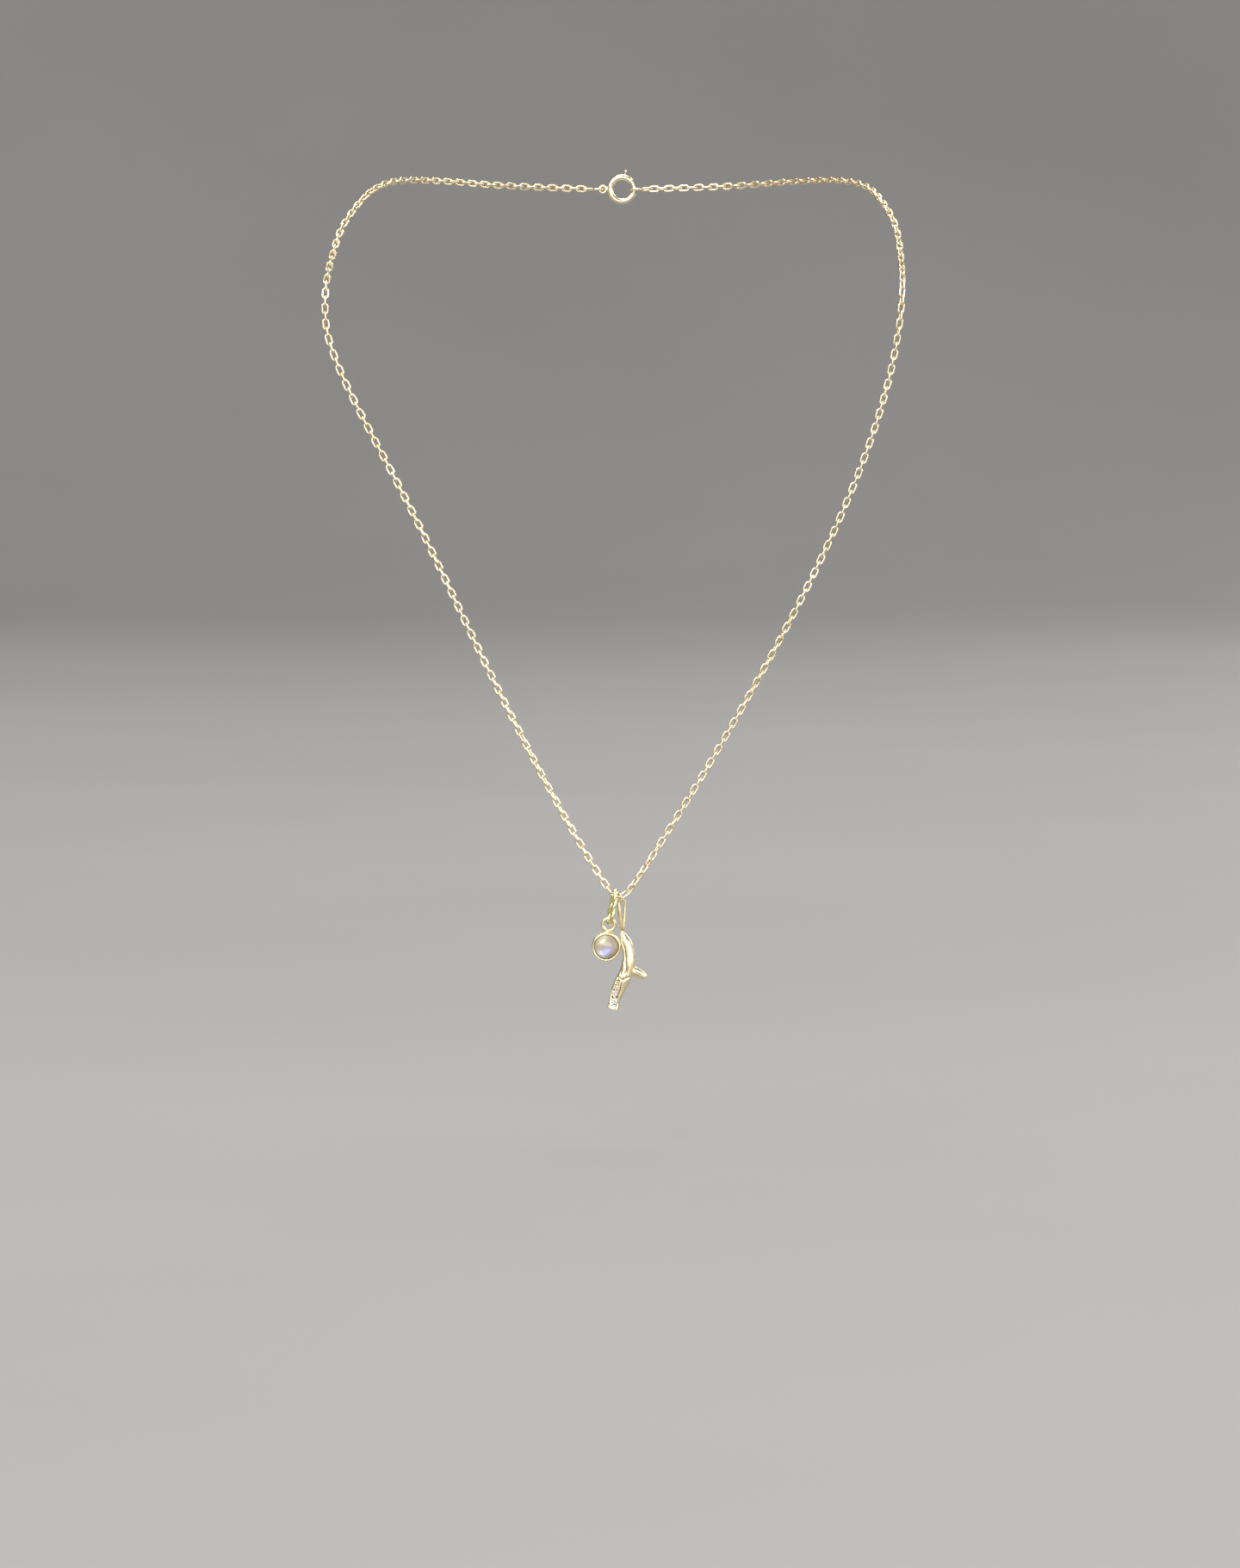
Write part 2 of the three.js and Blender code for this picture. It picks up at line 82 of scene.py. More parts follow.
# ------------------------------------------------------------------ node helpers
class Mat:
    def __init__(self, name):
        self.m = bpy.data.materials.new(name)
        self.m.use_nodes = True
        self.t = self.m.node_tree
        self.t.nodes.clear()
        self.out = self.t.nodes.new("ShaderNodeOutputMaterial")
        self.b = self.t.nodes.new("ShaderNodeBsdfPrincipled")
        self.link(self.b.outputs[0], self.out.inputs[0])
        self.tc = self.t.nodes.new("ShaderNodeTexCoord")

    def link(self, a, b):
        self.t.links.new(a, b)

    def node(self, kind, **kw):
        n = self.t.nodes.new(kind)
        for k, v in kw.items():
            if k in n.inputs.keys() if hasattr(n.inputs, "keys") else False:
                n.inputs[k].default_value = v
            else:
                setattr(n, k, v)
        return n

    def mapped(self, scale=(1, 1, 1), loc=(0, 0, 0), rot=(0, 0, 0)):
        n = self.t.nodes.new("ShaderNodeMapping")
        n.inputs["Scale"].default_value = scale
        n.inputs["Location"].default_value = loc
        n.inputs["Rotation"].default_value = rot
        self.link(self.tc.outputs["Object"], n.inputs["Vector"])
        return n.outputs["Vector"]

    def noise(self, vec, scale, detail=4.0, rough=0.55, dist=0.0):
        n = self.t.nodes.new("ShaderNodeTexNoise")
        n.inputs["Scale"].default_value = scale
        n.inputs["Detail"].default_value = detail
        n.inputs["Roughness"].default_value = rough
        n.inputs["Distortion"].default_value = dist
        self.link(vec, n.inputs["Vector"])
        return n.outputs["Fac"]

    def ramp(self, fac, stops):
        n = self.t.nodes.new("ShaderNodeValToRGB")
        e = n.color_ramp.elements
        while len(e) < len(stops):
            e.new(0.5)
        for k, (p, c) in enumerate(stops):
            e[k].position = p
            e[k].color = (*c, 1.0) if len(c) == 3 else c
        self.link(fac, n.inputs["Fac"])
        return n.outputs["Color"]

    def remap(self, fac, a, b, c, d):
        n = self.t.nodes.new("ShaderNodeMapRange")
        for k, v in zip((1, 2, 3, 4), (a, b, c, d)):
            n.inputs[k].default_value = v
        self.link(fac, n.inputs[0])
        return n.outputs[0]

    def math(self, op, a, b):
        n = self.t.nodes.new("ShaderNodeMath")
        n.operation = op
        for k, v in enumerate((a, b)):
            if isinstance(v, (int, float)):
                n.inputs[k].default_value = v
            else:
                self.link(v, n.inputs[k])
        return n.outputs[0]

    def mix(self, fac, a, b, mode="MIX"):
        n = self.t.nodes.new("ShaderNodeMix")
        n.data_type = "RGBA"
        n.blend_type = mode
        for k, v in ((0, fac), (6, a), (7, b)):
            if isinstance(v, (int, float)):
                n.inputs[k].default_value = v
            elif isinstance(v, tuple):
                n.inputs[k].default_value = (*v, 1.0)
            else:
                self.link(v, n.inputs[k])
        return n.outputs[2]

    def bump(self, height, strength, distance):
        n = self.t.nodes.new("ShaderNodeBump")
        n.inputs["Strength"].default_value = strength
        n.inputs["Distance"].default_value = distance
        self.link(height, n.inputs["Height"])
        self.link(n.outputs[0], self.b.inputs["Normal"])
        return n


def lin(r, g, b):
    f = lambda c: c / 12.92 if c <= 0.04045 else ((c + 0.055) / 1.055) ** 2.4
    return tuple(f(c / 255.0) for c in (r, g, b))


def gold(name, light, dark, rough=(0.16, 0.3), grain=900.0, bump=0.25, depth=6e-6):
    """Polished gold alloy: tone drifts slowly, fine polishing marks in roughness and bump."""
    m = Mat(name)
    m.b.inputs["Metallic"].default_value = 1.0
    v = m.mapped()
    slow = m.noise(v, grain * 0.35, 2.0)
    m.link(m.ramp(slow, [(0.32, dark), (0.68, light)]), m.b.inputs["Base Color"])
    fine = m.noise(v, grain * 2.2, 5.0, 0.6)
    m.link(m.remap(fine, 0.3, 0.7, rough[0], rough[1]), m.b.inputs["Roughness"])
    marks = m.noise(m.mapped(scale=(1.0, 1.0, 0.22), rot=(0.3, 0.2, 0.1)), grain * 3.0, 4.0, 0.6)
    m.bump(marks, bump, depth)
    return m.m


CHAIN = gold("chain_gold", lin(244, 229, 194), lin(227, 206, 166), (0.18, 0.32))
CLASPG = gold("clasp_gold", lin(244, 228, 191), lin(226, 205, 162), (0.13, 0.26), 700.0)
ROPEG = gold("rope_gold", lin(238, 230, 176), lin(218, 206, 144), (0.2, 0.34), 1100.0, 0.3)
BEZELG = gold("charm_gold", lin(240, 229, 182), lin(222, 206, 152), (0.18, 0.32), 800.0)
# painted shade: the bail wire gets a darker copy of the gold because it sits in shade; its higher roughness is its own
# matte finish
BAIL_SHADED_GOLD = gold("bail_gold_painted_shade", lin(230, 212, 164), lin(202, 180, 128), (0.3, 0.46), 700.0, 0.35)


# ------------------------------------------------------------------ mesh helpers
def catmull(P, per=16, closed=False):
    """Centripetal Catmull-Rom through P. Returns the samples, and the index of each control point."""
    P = np.asarray(P, float)
    n = len(P)
    if closed:
        Q = np.vstack([P[-1], P, P[0], P[1]])
        segs = n
    else:
        Q = np.vstack([2 * P[0] - P[1], P, 2 * P[-1] - P[-2]])
        segs = n - 1
    out, idx = [], []
    for i in range(segs):
        p0, p1, p2, p3 = Q[i], Q[i + 1], Q[i + 2], Q[i + 3]
        a = [0.0]
        for u, w in ((p0, p1), (p1, p2), (p2, p3)):
            a.append(a[-1] + max(1e-6, np.linalg.norm(w[:3] - u[:3]) ** 0.5))
        t = np.linspace(a[1], a[2], per, endpoint=False)[:, None]
        A1 = (a[1] - t) / (a[1] - a[0]) * p0 + (t - a[0]) / (a[1] - a[0]) * p1
        A2 = (a[2] - t) / (a[2] - a[1]) * p1 + (t - a[1]) / (a[2] - a[1]) * p2
        A3 = (a[3] - t) / (a[3] - a[2]) * p2 + (t - a[2]) / (a[3] - a[2]) * p3
        B1 = (a[2] - t) / (a[2] - a[0]) * A1 + (t - a[0]) / (a[2] - a[0]) * A2
        B2 = (a[3] - t) / (a[3] - a[1]) * A2 + (t - a[1]) / (a[3] - a[1]) * A3
        idx.append(len(out) * per if False else sum(len(o) for o in out))
        out.append((a[2] - t) / (a[2] - a[1]) * B1 + (t - a[1]) / (a[2] - a[1]) * B2)
    if not closed:
        out.append(P[-1:])
        idx.append(sum(len(o) for o in out) - 1)
    return np.vstack(out), idx


def tangents(P, closed=False):
    if closed:
        d = np.roll(P, -1, 0) - np.roll(P, 1, 0)
    else:
        d = np.gradient(P, axis=0)
    return d / np.linalg.norm(d, axis=1)[:, None]


def transport(T, n0, closed=False):
    N = np.zeros_like(T)
    n = n0 - T[0] * (n0 @ T[0])
    N[0] = n / np.linalg.norm(n)
    for i in range(1, len(T)):
        n = N[i - 1] - T[i] * (N[i - 1] @ T[i])
        N[i] = n / np.linalg.norm(n)
    return N


def by_ref(T, ref):
    ref = np.asarray(ref, float)
    N = ref[None, :] - T * (T @ ref)[:, None]
    return N / np.linalg.norm(N, axis=1)[:, None]


def sweep(P, R, sides=16, closed=False, ref=(0, 1, 0), caps="round", twist=None, N=None):
    """Tube along P. R: radius, or (n,) or (n,2) half widths along the reference direction and across it."""
    P = np.asarray(P, float)
    n = len(P)
    T = tangents(P, closed)
    if N is None:
        N = by_ref(T, ref)
    B = np.cross(T, N)
    R = np.asarray(R, float)
    if R.ndim == 0:
        R = np.full((n, 2), float(R))
    elif R.ndim == 1:
        R = np.c_[R, R]
    if not closed and caps == "round":
        k = 5
        heads = []
        for end, s in ((0, -1.0), (-1, 1.0)):
            rows = []
            for j in range(1, k + 1):
                a = j / k * math.pi / 2
                rows.append((P[end] + T[end] * s * R[end].mean() * math.sin(a) * 0.98, N[end], B[end], R[end] * max(0.02, math.cos(a))))
            heads.append(rows)
        pre, post = heads[0][::-1], heads[1]
        P = np.vstack([[r[0] for r in pre], P, [r[0] for r in post]])
        N = np.vstack([[r[1] for r in pre], N, [r[1] for r in post]])
        B = np.vstack([[r[2] for r in pre], B, [r[2] for r in post]])
        R = np.vstack([[r[3] for r in pre], R, [r[3] for r in post]])
        n = len(P)
    a = np.arange(sides) / sides * 2 * math.pi
    if twist is not None:
        a = a[None, :] + np.asarray(twist)[:, None]
    else:
        a = np.repeat(a[None, :], n, 0)
    V = (P[:, None, :] + N[:, None, :] * (np.cos(a) * R[:, :1])[:, :, None] + B[:, None, :] * (np.sin(a) * R[:, 1:])[:, :, None]).reshape(-1, 3)
    F = []
    rows = n if closed else n - 1
    for i in range(rows):
        j = (i + 1) % n
        for s in range(sides):
            t = (s + 1) % sides
            F.append((i * sides + s, i * sides + t, j * sides + t, j * sides + s))
    if not closed:
        F.append(tuple(reversed(range(sides))))
        F.append(tuple(range((n - 1) * sides, n * sides)))
    return V, F


def join(parts):
    V, F, o = [], [], 0
    for v, f in parts:
        V.append(np.asarray(v, float))
        F += [tuple(x + o for x in q) for q in f]
        o += len(v)
    return np.vstack(V), F


def make(name, V, F, mat, smooth=True, sharp=None):
    me = bpy.data.meshes.new(name)
    me.from_pydata(world(V).tolist(), [], F)
    me.validate()
    me.update()
    if smooth:
        me.polygons.foreach_set("use_smooth", [True] * len(me.polygons))
        if sharp:
            me.set_sharp_from_angle(angle=math.radians(sharp))
    me.materials.append(mat)
    ob = bpy.data.objects.new(name, me)
    bpy.context.scene.collection.objects.link(ob)
    return ob


def place(ob, body, slot, *nodes):
    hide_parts(*nodes)
    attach(ob, body)
    return ob


def lathe(profile, centre, sides=64):
    """Closed turned body about the local Y axis: profile of (radius, y), first and last on the axis."""
    V, F = [], []
    rows = []
    for r, y in profile:
        if r < 1e-6:
            rows.append([len(V)])
            V.append((centre[0], centre[1] + y, centre[2]))
        else:
            rows.append(list(range(len(V), len(V) + sides)))
            for k in range(sides):
                a = 2 * math.pi * k / sides
                V.append((centre[0] + r * math.cos(a), centre[1] + y, centre[2] + r * math.sin(a)))
    for p, q in zip(rows[:-1], rows[1:]):
        for k in range(sides):
            m = (k + 1) % sides
            if len(p) == 1:
                F.append((p[0], q[m], q[k]))
            elif len(q) == 1:
                F.append((p[k], p[m], q[0]))
            else:
                F.append((p[k], p[m], q[m], q[k]))
    return np.array(V), F


# ------------------------------------------------------------------ chain
V_LEFT = [
    [[-51.68, 100], [-49.74, 94.33], [-47.12, 88.67], [-44.2, 83]],
    [[-44.2, 83], [-41.2, 77.33], [-38.25, 71.67], [-35.4, 66]],
    [[-35.4, 66], [-32.64, 60.33], [-29.94, 54.67], [-27.26, 49]],
    [[-27.26, 49], [-24.56, 43.33], [-21.81, 37.67], [-18.99, 32]],
    [[-18.99, 32], [-16.18, 26.5], [-13.29, 21], [-10.29, 15.5]],
    [[-10.29, 15.5], [-7.94, 11.33], [-5.49, 7.17], [-2.52, 2.5], [-1.5, 1.0]],
]
V_RIGHT = [
    [[49.08, 100], [48.01, 94.33], [46.57, 88.67], [44.83, 83]],
    [[44.83, 83], [42.82, 77.33], [40.58, 71.67], [38.14, 66]],
    [[38.14, 66], [35.51, 60.33], [32.73, 54.67], [29.81, 49]],
    [[29.81, 49], [26.78, 43.33], [23.65, 37.67], [20.44, 32]],
    [[20.44, 32], [17.25, 26.5], [13.98, 21], [10.62, 15.5]],
    [[10.62, 15.5], [8, 11.33], [5.42, 7.17], [2.55, 2.95], [1.45, 1.35]],
]
SHOULDER_LEFT = [
    [-51.68, 0, 100], [-52.15, 0, 104], [-52.08, 0.1, 107.4], [-51.95, 0.7, 109.24],
    [-51.7, 1.9, 111.08], [-51.35, 3.3, 112.92], [-50.84, 4.8, 114.77], [-50.4, 6.5, 116.63],
    [-49.79, 8.3, 118.49], [-48.89, 10.2, 120.36], [-47.69, 12.2, 122.24],
]
NAPE_LEFT_1 = [
    [-47.69, 12.2, 122.24], [-46.34, 14.8, 124.1], [-44.66, 18, 125.9],
    [-42.09, 22, 127.4], [-38.9, 26.5, 128.1], [-34.9, 30.8, 128.2],
]
NAPE_LEFT_2 = [
    [-34.9, 30.8, 128.2], [-29.6, 35.3, 128], [-23.4, 39.5, 127.6],
    [-16.4, 43, 127.3], [-5.2, 46.35, 127],
]
SHOULDER_RIGHT = [
    [49.08, 0, 100], [49.6, 0, 104], [49.85, 0.1, 107.42], [49.92, 0.6, 109.24],
    [49.94, 1.6, 111.07], [49.82, 3, 112.92], [49.69, 4.6, 114.76], [49.51, 6.2, 116.62],
    [49.25, 7.9, 118.48], [48.69, 9.8, 120.35], [47.86, 11.8, 122.23],
]
NAPE_RIGHT_1 = [
    [47.86, 11.8, 122.23], [46.69, 14.4, 124.1], [45.34, 17.6, 125.9],
    [42.9, 22, 127.4], [39.5, 26.6, 128.1], [35.2, 31, 128.2],
]
NAPE_RIGHT_2 = [
    [35.2, 31, 128.2], [30, 35.4, 128], [23.6, 39.6, 127.6],
    [16.6, 43.1, 127.3], [4.2, 46.45, 127],
]
PITCH = 1.385
WIRE = 0.36
LINK_W = 1.33
SLACK = 0.06


def stadium(half_len, half_w, per=7):
    """Centre line of a long link in the plane x (along) and y (across)."""
    R, s = half_w, half_len - half_w
    a = np.linspace(-math.pi / 2, math.pi / 2, per * 2 + 1)
    right = np.c_[s + R * np.cos(a), R * np.sin(a)]
    left = -right
    mid = np.linspace(s, -s, 5)[1:-1]
    top = np.c_[mid, np.full(3, R)]
    bottom = -top
    P = np.vstack([right, top, left, bottom])
    return np.c_[P[:, 0], P[:, 1], np.zeros(len(P))]


def link_template(pitch, wire=WIRE, width=LINK_W, sides=12):
    P = stadium((pitch + wire + SLACK) / 2, (width - wire) / 2)
    n = len(P)
    # the wire is a little flatter inside the bends, where drawn wire is bent round
    bend = np.clip(np.abs(P[:, 0]) / P[:, 0].max(), 0, 1) ** 6
    R = np.c_[wire / 2 * (1 - 0.05 * bend), wire / 2 * (1 - 0.08 * bend)]
    return sweep(P, R, sides, closed=True, ref=(0, 0, 1))


def links_between(points, pitch_roll, run):
    """Empty: builds no link meshes and returns None; its arguments points, pitch_roll and run are not used."""


def build_run(stretches, roll0, first):
    """stretches: list of (node, points 3-D), outward from the V's bottom. Returns {node: mesh}."""
    pts, marks = [], [0]
    for _, p in stretches:
        p = np.asarray(p, float)
        pts.append(p if not pts else p[1:])
        marks.append(marks[-1] + len(p) - 1)
    P = np.vstack(pts)
    C, idx = catmull(P, 24)
    S = np.r_[0, np.cumsum(np.linalg.norm(np.diff(C, axis=0), axis=1))]
    T = tangents(C)
    N = transport(T, np.array([0.0, -1.0, 0.0]))
    total = S[-1]
    out, count = {}, first
    at = lambda s: np.array([np.interp(s, S, C[:, k]) for k in range(3)])
    nat = lambda s: np.array([np.interp(s, S, N[:, k]) for k in range(3)])
    for k, (node, _) in enumerate(stretches):
        s0, s1 = S[idx[marks[k]]], S[idx[marks[k + 1]]]
        n = max(1, int(round((s1 - s0) / PITCH)))
        p = (s1 - s0) / n
        V0, F0 = link_template(p)
        parts = []
        for i in range(n):
            a, b = at(s0 + i * p), at(s0 + (i + 1) * p)
            t = b - a
            t /= np.linalg.norm(t)
            m = nat(s0 + (i + 0.5) * p)
            m -= t * (m @ t)
            m /= np.linalg.norm(m)
            roll = math.radians(90.0 * count + roll0(s0 + (i + 0.5) * p) + rng.normal(0, 3.0))
            w = np.cross(m, t)
            u = m * math.cos(roll) + w * math.sin(roll)  # the link's flat normal
            v = np.cross(u, t)
            c = (a + b) / 2
            jig = rng.normal(0, 0.012, 3)
            t2 = t + jig
            t2 /= np.linalg.norm(t2)
            u = u - t2 * (u @ t2)
            u /= np.linalg.norm(u)
            v = np.cross(u, t2)
            M = np.stack([t2, v, u], 0)
            parts.append((V0 @ M + c, F0))
            count += 1
        out[node] = join(parts)
    return out, count


def single_link(a, b, normal, pitch=None, wire=WIRE, width=LINK_W):
    a, b = np.asarray(a, float), np.asarray(b, float)
    p = np.linalg.norm(b - a) if pitch is None else pitch
    V0, F0 = link_template(p, wire, width)
    t = (b - a) / np.linalg.norm(b - a)
    u = np.asarray(normal, float)
    u = u - t * (u @ t)
    u /= np.linalg.norm(u)
    M = np.stack([t, np.cross(u, t), u], 0)
    return V0 @ M + (a + b) / 2, F0


flat = lambda L: [[q[0], 0.0, q[1]] for q in L]


def smooth01(x, a, b):
    t = min(1.0, max(0.0, (x - a) / (b - a)))
    return t * t * (3 - 2 * t)


def left_roll(s):
    # alternate links face the viewer; the run twists a little here and there, more at the shoulder
    return 6 + 9 * math.sin(s / 17.0) - 6 * math.sin(s / 7.3 + 1.0) + 38 * smooth01(s, 92, 128) * math.cos(s / 30.0)


def right_roll(s):
    return 48 * (1 - smooth01(s, 2, 16)) + 8 * math.sin(s / 15.0 + 2.0) - 7 * math.sin(s / 6.1) - 40 * smooth01(s, 96, 130)


left_stretches = [(f"chain_left_{k}", list(reversed(flat(V_LEFT[k - 1])))) for k in range(6, 0, -1)]
left_stretches += [("shoulder_left", SHOULDER_LEFT), ("nape_left_1", NAPE_LEFT_1), ("nape_left_2", NAPE_LEFT_2)]
right_stretches = [(f"chain_right_{k}", list(reversed(flat(V_RIGHT[k - 1])))) for k in range(6, 0, -1)]
right_stretches += [("shoulder_right", SHOULDER_RIGHT), ("nape_right_1", NAPE_RIGHT_1), ("nape_right_2", NAPE_RIGHT_2)]
left, n_left = build_run(left_stretches, left_roll, 1)
right, n_right = build_run(right_stretches, right_roll, 1)

for node, mesh in {**left, **right}.items():
    k = node[-1]
    body = f"chain_tier_{k}" if node.startswith("chain_") else "neck_chain"
    place(make(node + "_links", *mesh, CHAIN), body, "chain_gold", node)

# The lowest links: one from each side reaches into the upright link that the twig hangs from.
low = join([
    single_link((-1.5, 0, 1.0), (-0.2, 0.0, 0.62), (0.12, -0.34, 0.94)),
    single_link((0.24, 0.0, 0.5), (1.45, 0, 1.35), (-0.5, -0.72, 0.5)),
])
place(make("v_bottom_links", *low, CHAIN), "chain_tier_6", "chain_gold", "chain_v_bottom")

# Upright link.
V0, F0 = link_template(1.56 - 0.31, 0.31, 1.02)
w = math.radians(42)
M = np.stack([np.array([0, 0, 1.0]), np.array([math.cos(w), -math.sin(w), 0]), np.array([math.sin(w), math.cos(w), 0])], 0)
place(make("drop_link_wire", V0 @ M + np.array([-0.1, 0, 0.18]), F0, CHAIN), "drop_link", "chain_gold", "drop_link")

# ------------------------------------------------------------------ rope ring
def rope_centre(n=220):
    R, top, end = 1.5, 1.5, -4.2
    zc, ze = top - R, end + R
    straight, half = zc - ze, math.pi * R
    total = 2 * straight + 2 * half
    P = []
    for q in np.arange(n) / n * total:
        if q < half:
            a = q / R
            y, z = -R * math.cos(a), zc + R * math.sin(a)
        elif q < half + straight:
            y, z = R, zc - (q - half)
        elif q < 2 * half + straight:
            a = (q - half - straight) / R
            y, z = R * math.cos(a), ze - R * math.sin(a)
        else:
            y, z = -R, ze + (q - 2 * half - straight)
        P.append((-0.83 - 0.188 * (top - z) - math.tan(math.radians(8.5)) * y, y, z))
    return np.array(P)


RC = rope_centre()
RT = tangents(RC, True)
RN = by_ref(RT, (1, 0, 0))
RB = np.cross(RT, RN)
TURNS, STRANDS = 4, 2
parts = []
for k in range(STRANDS):
    a = np.arange(len(RC)) / len(RC) * 2 * math.pi * TURNS + 2 * math.pi * k / STRANDS + 0.6
    off = RN * (np.cos(a) * 0.2)[:, None] + RB * (np.sin(a) * 0.2)[:, None]
    parts.append(sweep(RC + off, 0.24, 16, closed=True, ref=(1, 0, 0)))
place(make("rope_ring_strands", *join(parts), ROPEG), "rope_ring", "rope_gold", "rope_ring")

# ------------------------------------------------------------------ charm
BX, BZ = -2.43, -8.45
a = np.arange(96) / 96 * 2 * math.pi
eye_c = np.c_[-2.0 + 1.09 * np.cos(a), np.zeros(96), -4.48 + 1.09 * np.sin(a)]
eye = sweep(eye_c, np.c_[np.full(96, 0.30), np.full(96, 0.28)], 18, closed=True, ref=(0, 1, 0))
# solder: two small fillets where the ring meets the bezel, drawn as one waisted saddle
sx = np.linspace(-0.7, 0.7, 41)
bell = np.exp(-((sx / 0.42) ** 2))
saddle_c = np.c_[-2.2 + sx, np.full(41, -0.08), -5.86 - 0.1 * (sx / 0.72) ** 2 + 0.1 * bell]
saddle_r = 0.1 + 0.19 * bell
saddle = sweep(saddle_c, np.c_[0.42 + 0.1 * bell, saddle_r], 24, ref=(0, 1, 0))
place(make("charm_eye_ring", *join([eye, saddle]), BEZELG), "charm", "charm_gold", "charm_eye")

# bezel: burnished wall leaning in over the stone, a step where the wall meets the back plate
cup = [(0, 1.1), (2.3, 1.1), (2.46, 1.08), (2.55, 1.0), (2.58, 0.9), (2.58, 0.82), (2.53, 0.78), (2.53, 0.74),
       (2.57, 0.68), (2.585, 0.5), (2.59, 0.1), (2.59, -0.25), (2.58, -0.45), (2.55, -0.6), (2.49, -0.7), (2.42, -0.745),
       (2.34, -0.755), (2.26, -0.74), (2.19, -0.7), (2.13, -0.64), (2.09, -0.56), (2.085, -0.5), (2.17, -0.42), (2.17, 0.82), (0, 0.82)]
V, F = lathe(cup, (BX, 0, BZ), 96)
# hand-burnished: the rim is not perfectly round or even
ang = np.arctan2(V[:, 2] - BZ, V[:, 0] - BX)
rad = np.hypot(V[:, 2] - BZ, V[:, 0] - BX)
front = np.clip((-V[:, 1] + 0.2) / 0.9, 0, 1) * (rad > 1.9)
wob = 0.02 * np.sin(3 * ang + 0.7) + 0.012 * np.sin(5 * ang + 2.0) + 0.006 * np.sin(9 * ang)
V[:, 0] += np.cos(ang) * wob * front
V[:, 2] += np.sin(ang) * wob * front
V[:, 1] += 0.02 * np.sin(4 * ang + 1.0) * front
place(make("bezel_wall", V, F, BEZELG, True, 50), "charm", "charm_gold", "bezel_cup")

dome = [(0, 0.78), (2.0, 0.78), (2.1, 0.7), (2.11, -0.4), (2.1, -0.55)]
for i in range(1, 25):
    t = i / 24 * math.pi / 2
    dome.append((0.0 if i == 24 else 2.1 * math.cos(t) ** 0.92, -0.55 - 1.3 * math.sin(t)))
m = Mat("moonstone")
pos = m.mapped()


def blob(x, z, sx, sz, ang=0.0):
    """0 to 1 bump centred at x, z in mm from the stone's centre."""
    c = world([BX + x, 0, BZ + z])[0]
    n = m.t.nodes.new("ShaderNodeMapping")
    n.vector_type = "TEXTURE"
    n.inputs["Location"].default_value = (c[0], -0.0225, c[2])
    n.inputs["Rotation"].default_value = (0, ang, 0)
    n.inputs["Scale"].default_value = (sx / 1000, 0.004, sz / 1000)
    m.link(m.tc.outputs["Object"], n.inputs["Vector"])
    g = m.t.nodes.new("ShaderNodeTexGradient")
    g.gradient_type = "QUADRATIC_SPHERE"
    m.link(n.outputs["Vector"], g.inputs["Vector"])
    return g.outputs["Fac"]


cloud = m.noise(pos, 700.0, 4.0, 0.6, 0.6)
base = m.ramp(cloud, [(0.3, lin(122, 114, 100)), (0.7, lin(160, 151, 132))])
c1 = m.mix(blob(-0.9, 1.0, 2.4, 2.2), base, lin(176, 169, 143))
c2 = m.mix(blob(1.3, -0.6, 1.8, 2.4), c1, lin(172, 152, 134))
# painted sheen: a white glow at lower left and a blue flash with wisps are painted into the stone's colour, fixed on it
glow = m.math("MULTIPLY", blob(-0.85, -1.15, 1.8, 1.2, 0.5), 1.2)
c3 = m.mix(glow, c2, lin(226, 226, 236))
flash = m.math("MULTIPLY", blob(0.0, -0.72, 1.55, 1.2, -0.5), 1.7)
wisp = m.math("MULTIPLY", flash, m.remap(m.noise(pos, 1500.0, 3.0, 0.5, 1.0), 0.3, 0.75, 0.55, 1.15))
c4 = m.mix(wisp, c3, lin(176, 176, 246))
m.link(c4, m.b.inputs["Base Color"])
m.b.inputs["Roughness"].default_value = 0.2
m.b.inputs["IOR"].default_value = 1.52
m.b.inputs["Subsurface Weight"].default_value = 0.35
m.b.inputs["Subsurface Radius"].default_value = (0.0009, 0.0009, 0.001)
m.b.inputs["Subsurface Scale"].default_value = 1.0
m.b.inputs["Coat Weight"].default_value = 0.25
m.b.inputs["Coat Roughness"].default_value = 0.04
# painted glow: the blue flash also glows by emission
em = m.mix(wisp, (0.0, 0.0, 0.0), (0.32, 0.33, 0.7))
m.link(em, m.b.inputs["Emission Color"])
m.b.inputs["Emission Strength"].default_value = 0.22
m.bump(m.noise(pos, 500.0, 2.0), 0.08, 2e-5)
MOON = m.m
place(make("moonstone_cabochon", *lathe(dome, (BX, 0, BZ), 96), MOON, True, 60), "charm", "moonstone", "moonstone")

# ------------------------------------------------------------------ twig pendant
TRUNK = np.array([
    [0.34, -5.55, 0.27], [0.4, -5.95, 0.34], [0.7, -6.6, 0.62], [1.1, -7.67, 0.95], [1.42, -9.05, 1.04],
    [1.6, -10.28, 1.1], [1.51, -11.5, 1.2], [1.19, -13.04, 1.26], [0.61, -14.27, 1.3],
    [-0.05, -15.49, 1.25], [-0.61, -16.97, 1.12], [-0.93, -17.95, 1.03],
    [-1.06, -18.71, 1.07], [-1.21, -19.45, 1.14],
])
DEPTH = 0.92
TWIG = np.array([
    [1.1, -12.3, 0.74], [2.3, -12.76, 0.9], [3.29, -13.26, 0.85], [3.9, -13.56, 0.72],
    [4.25, -13.74, 0.6],
])


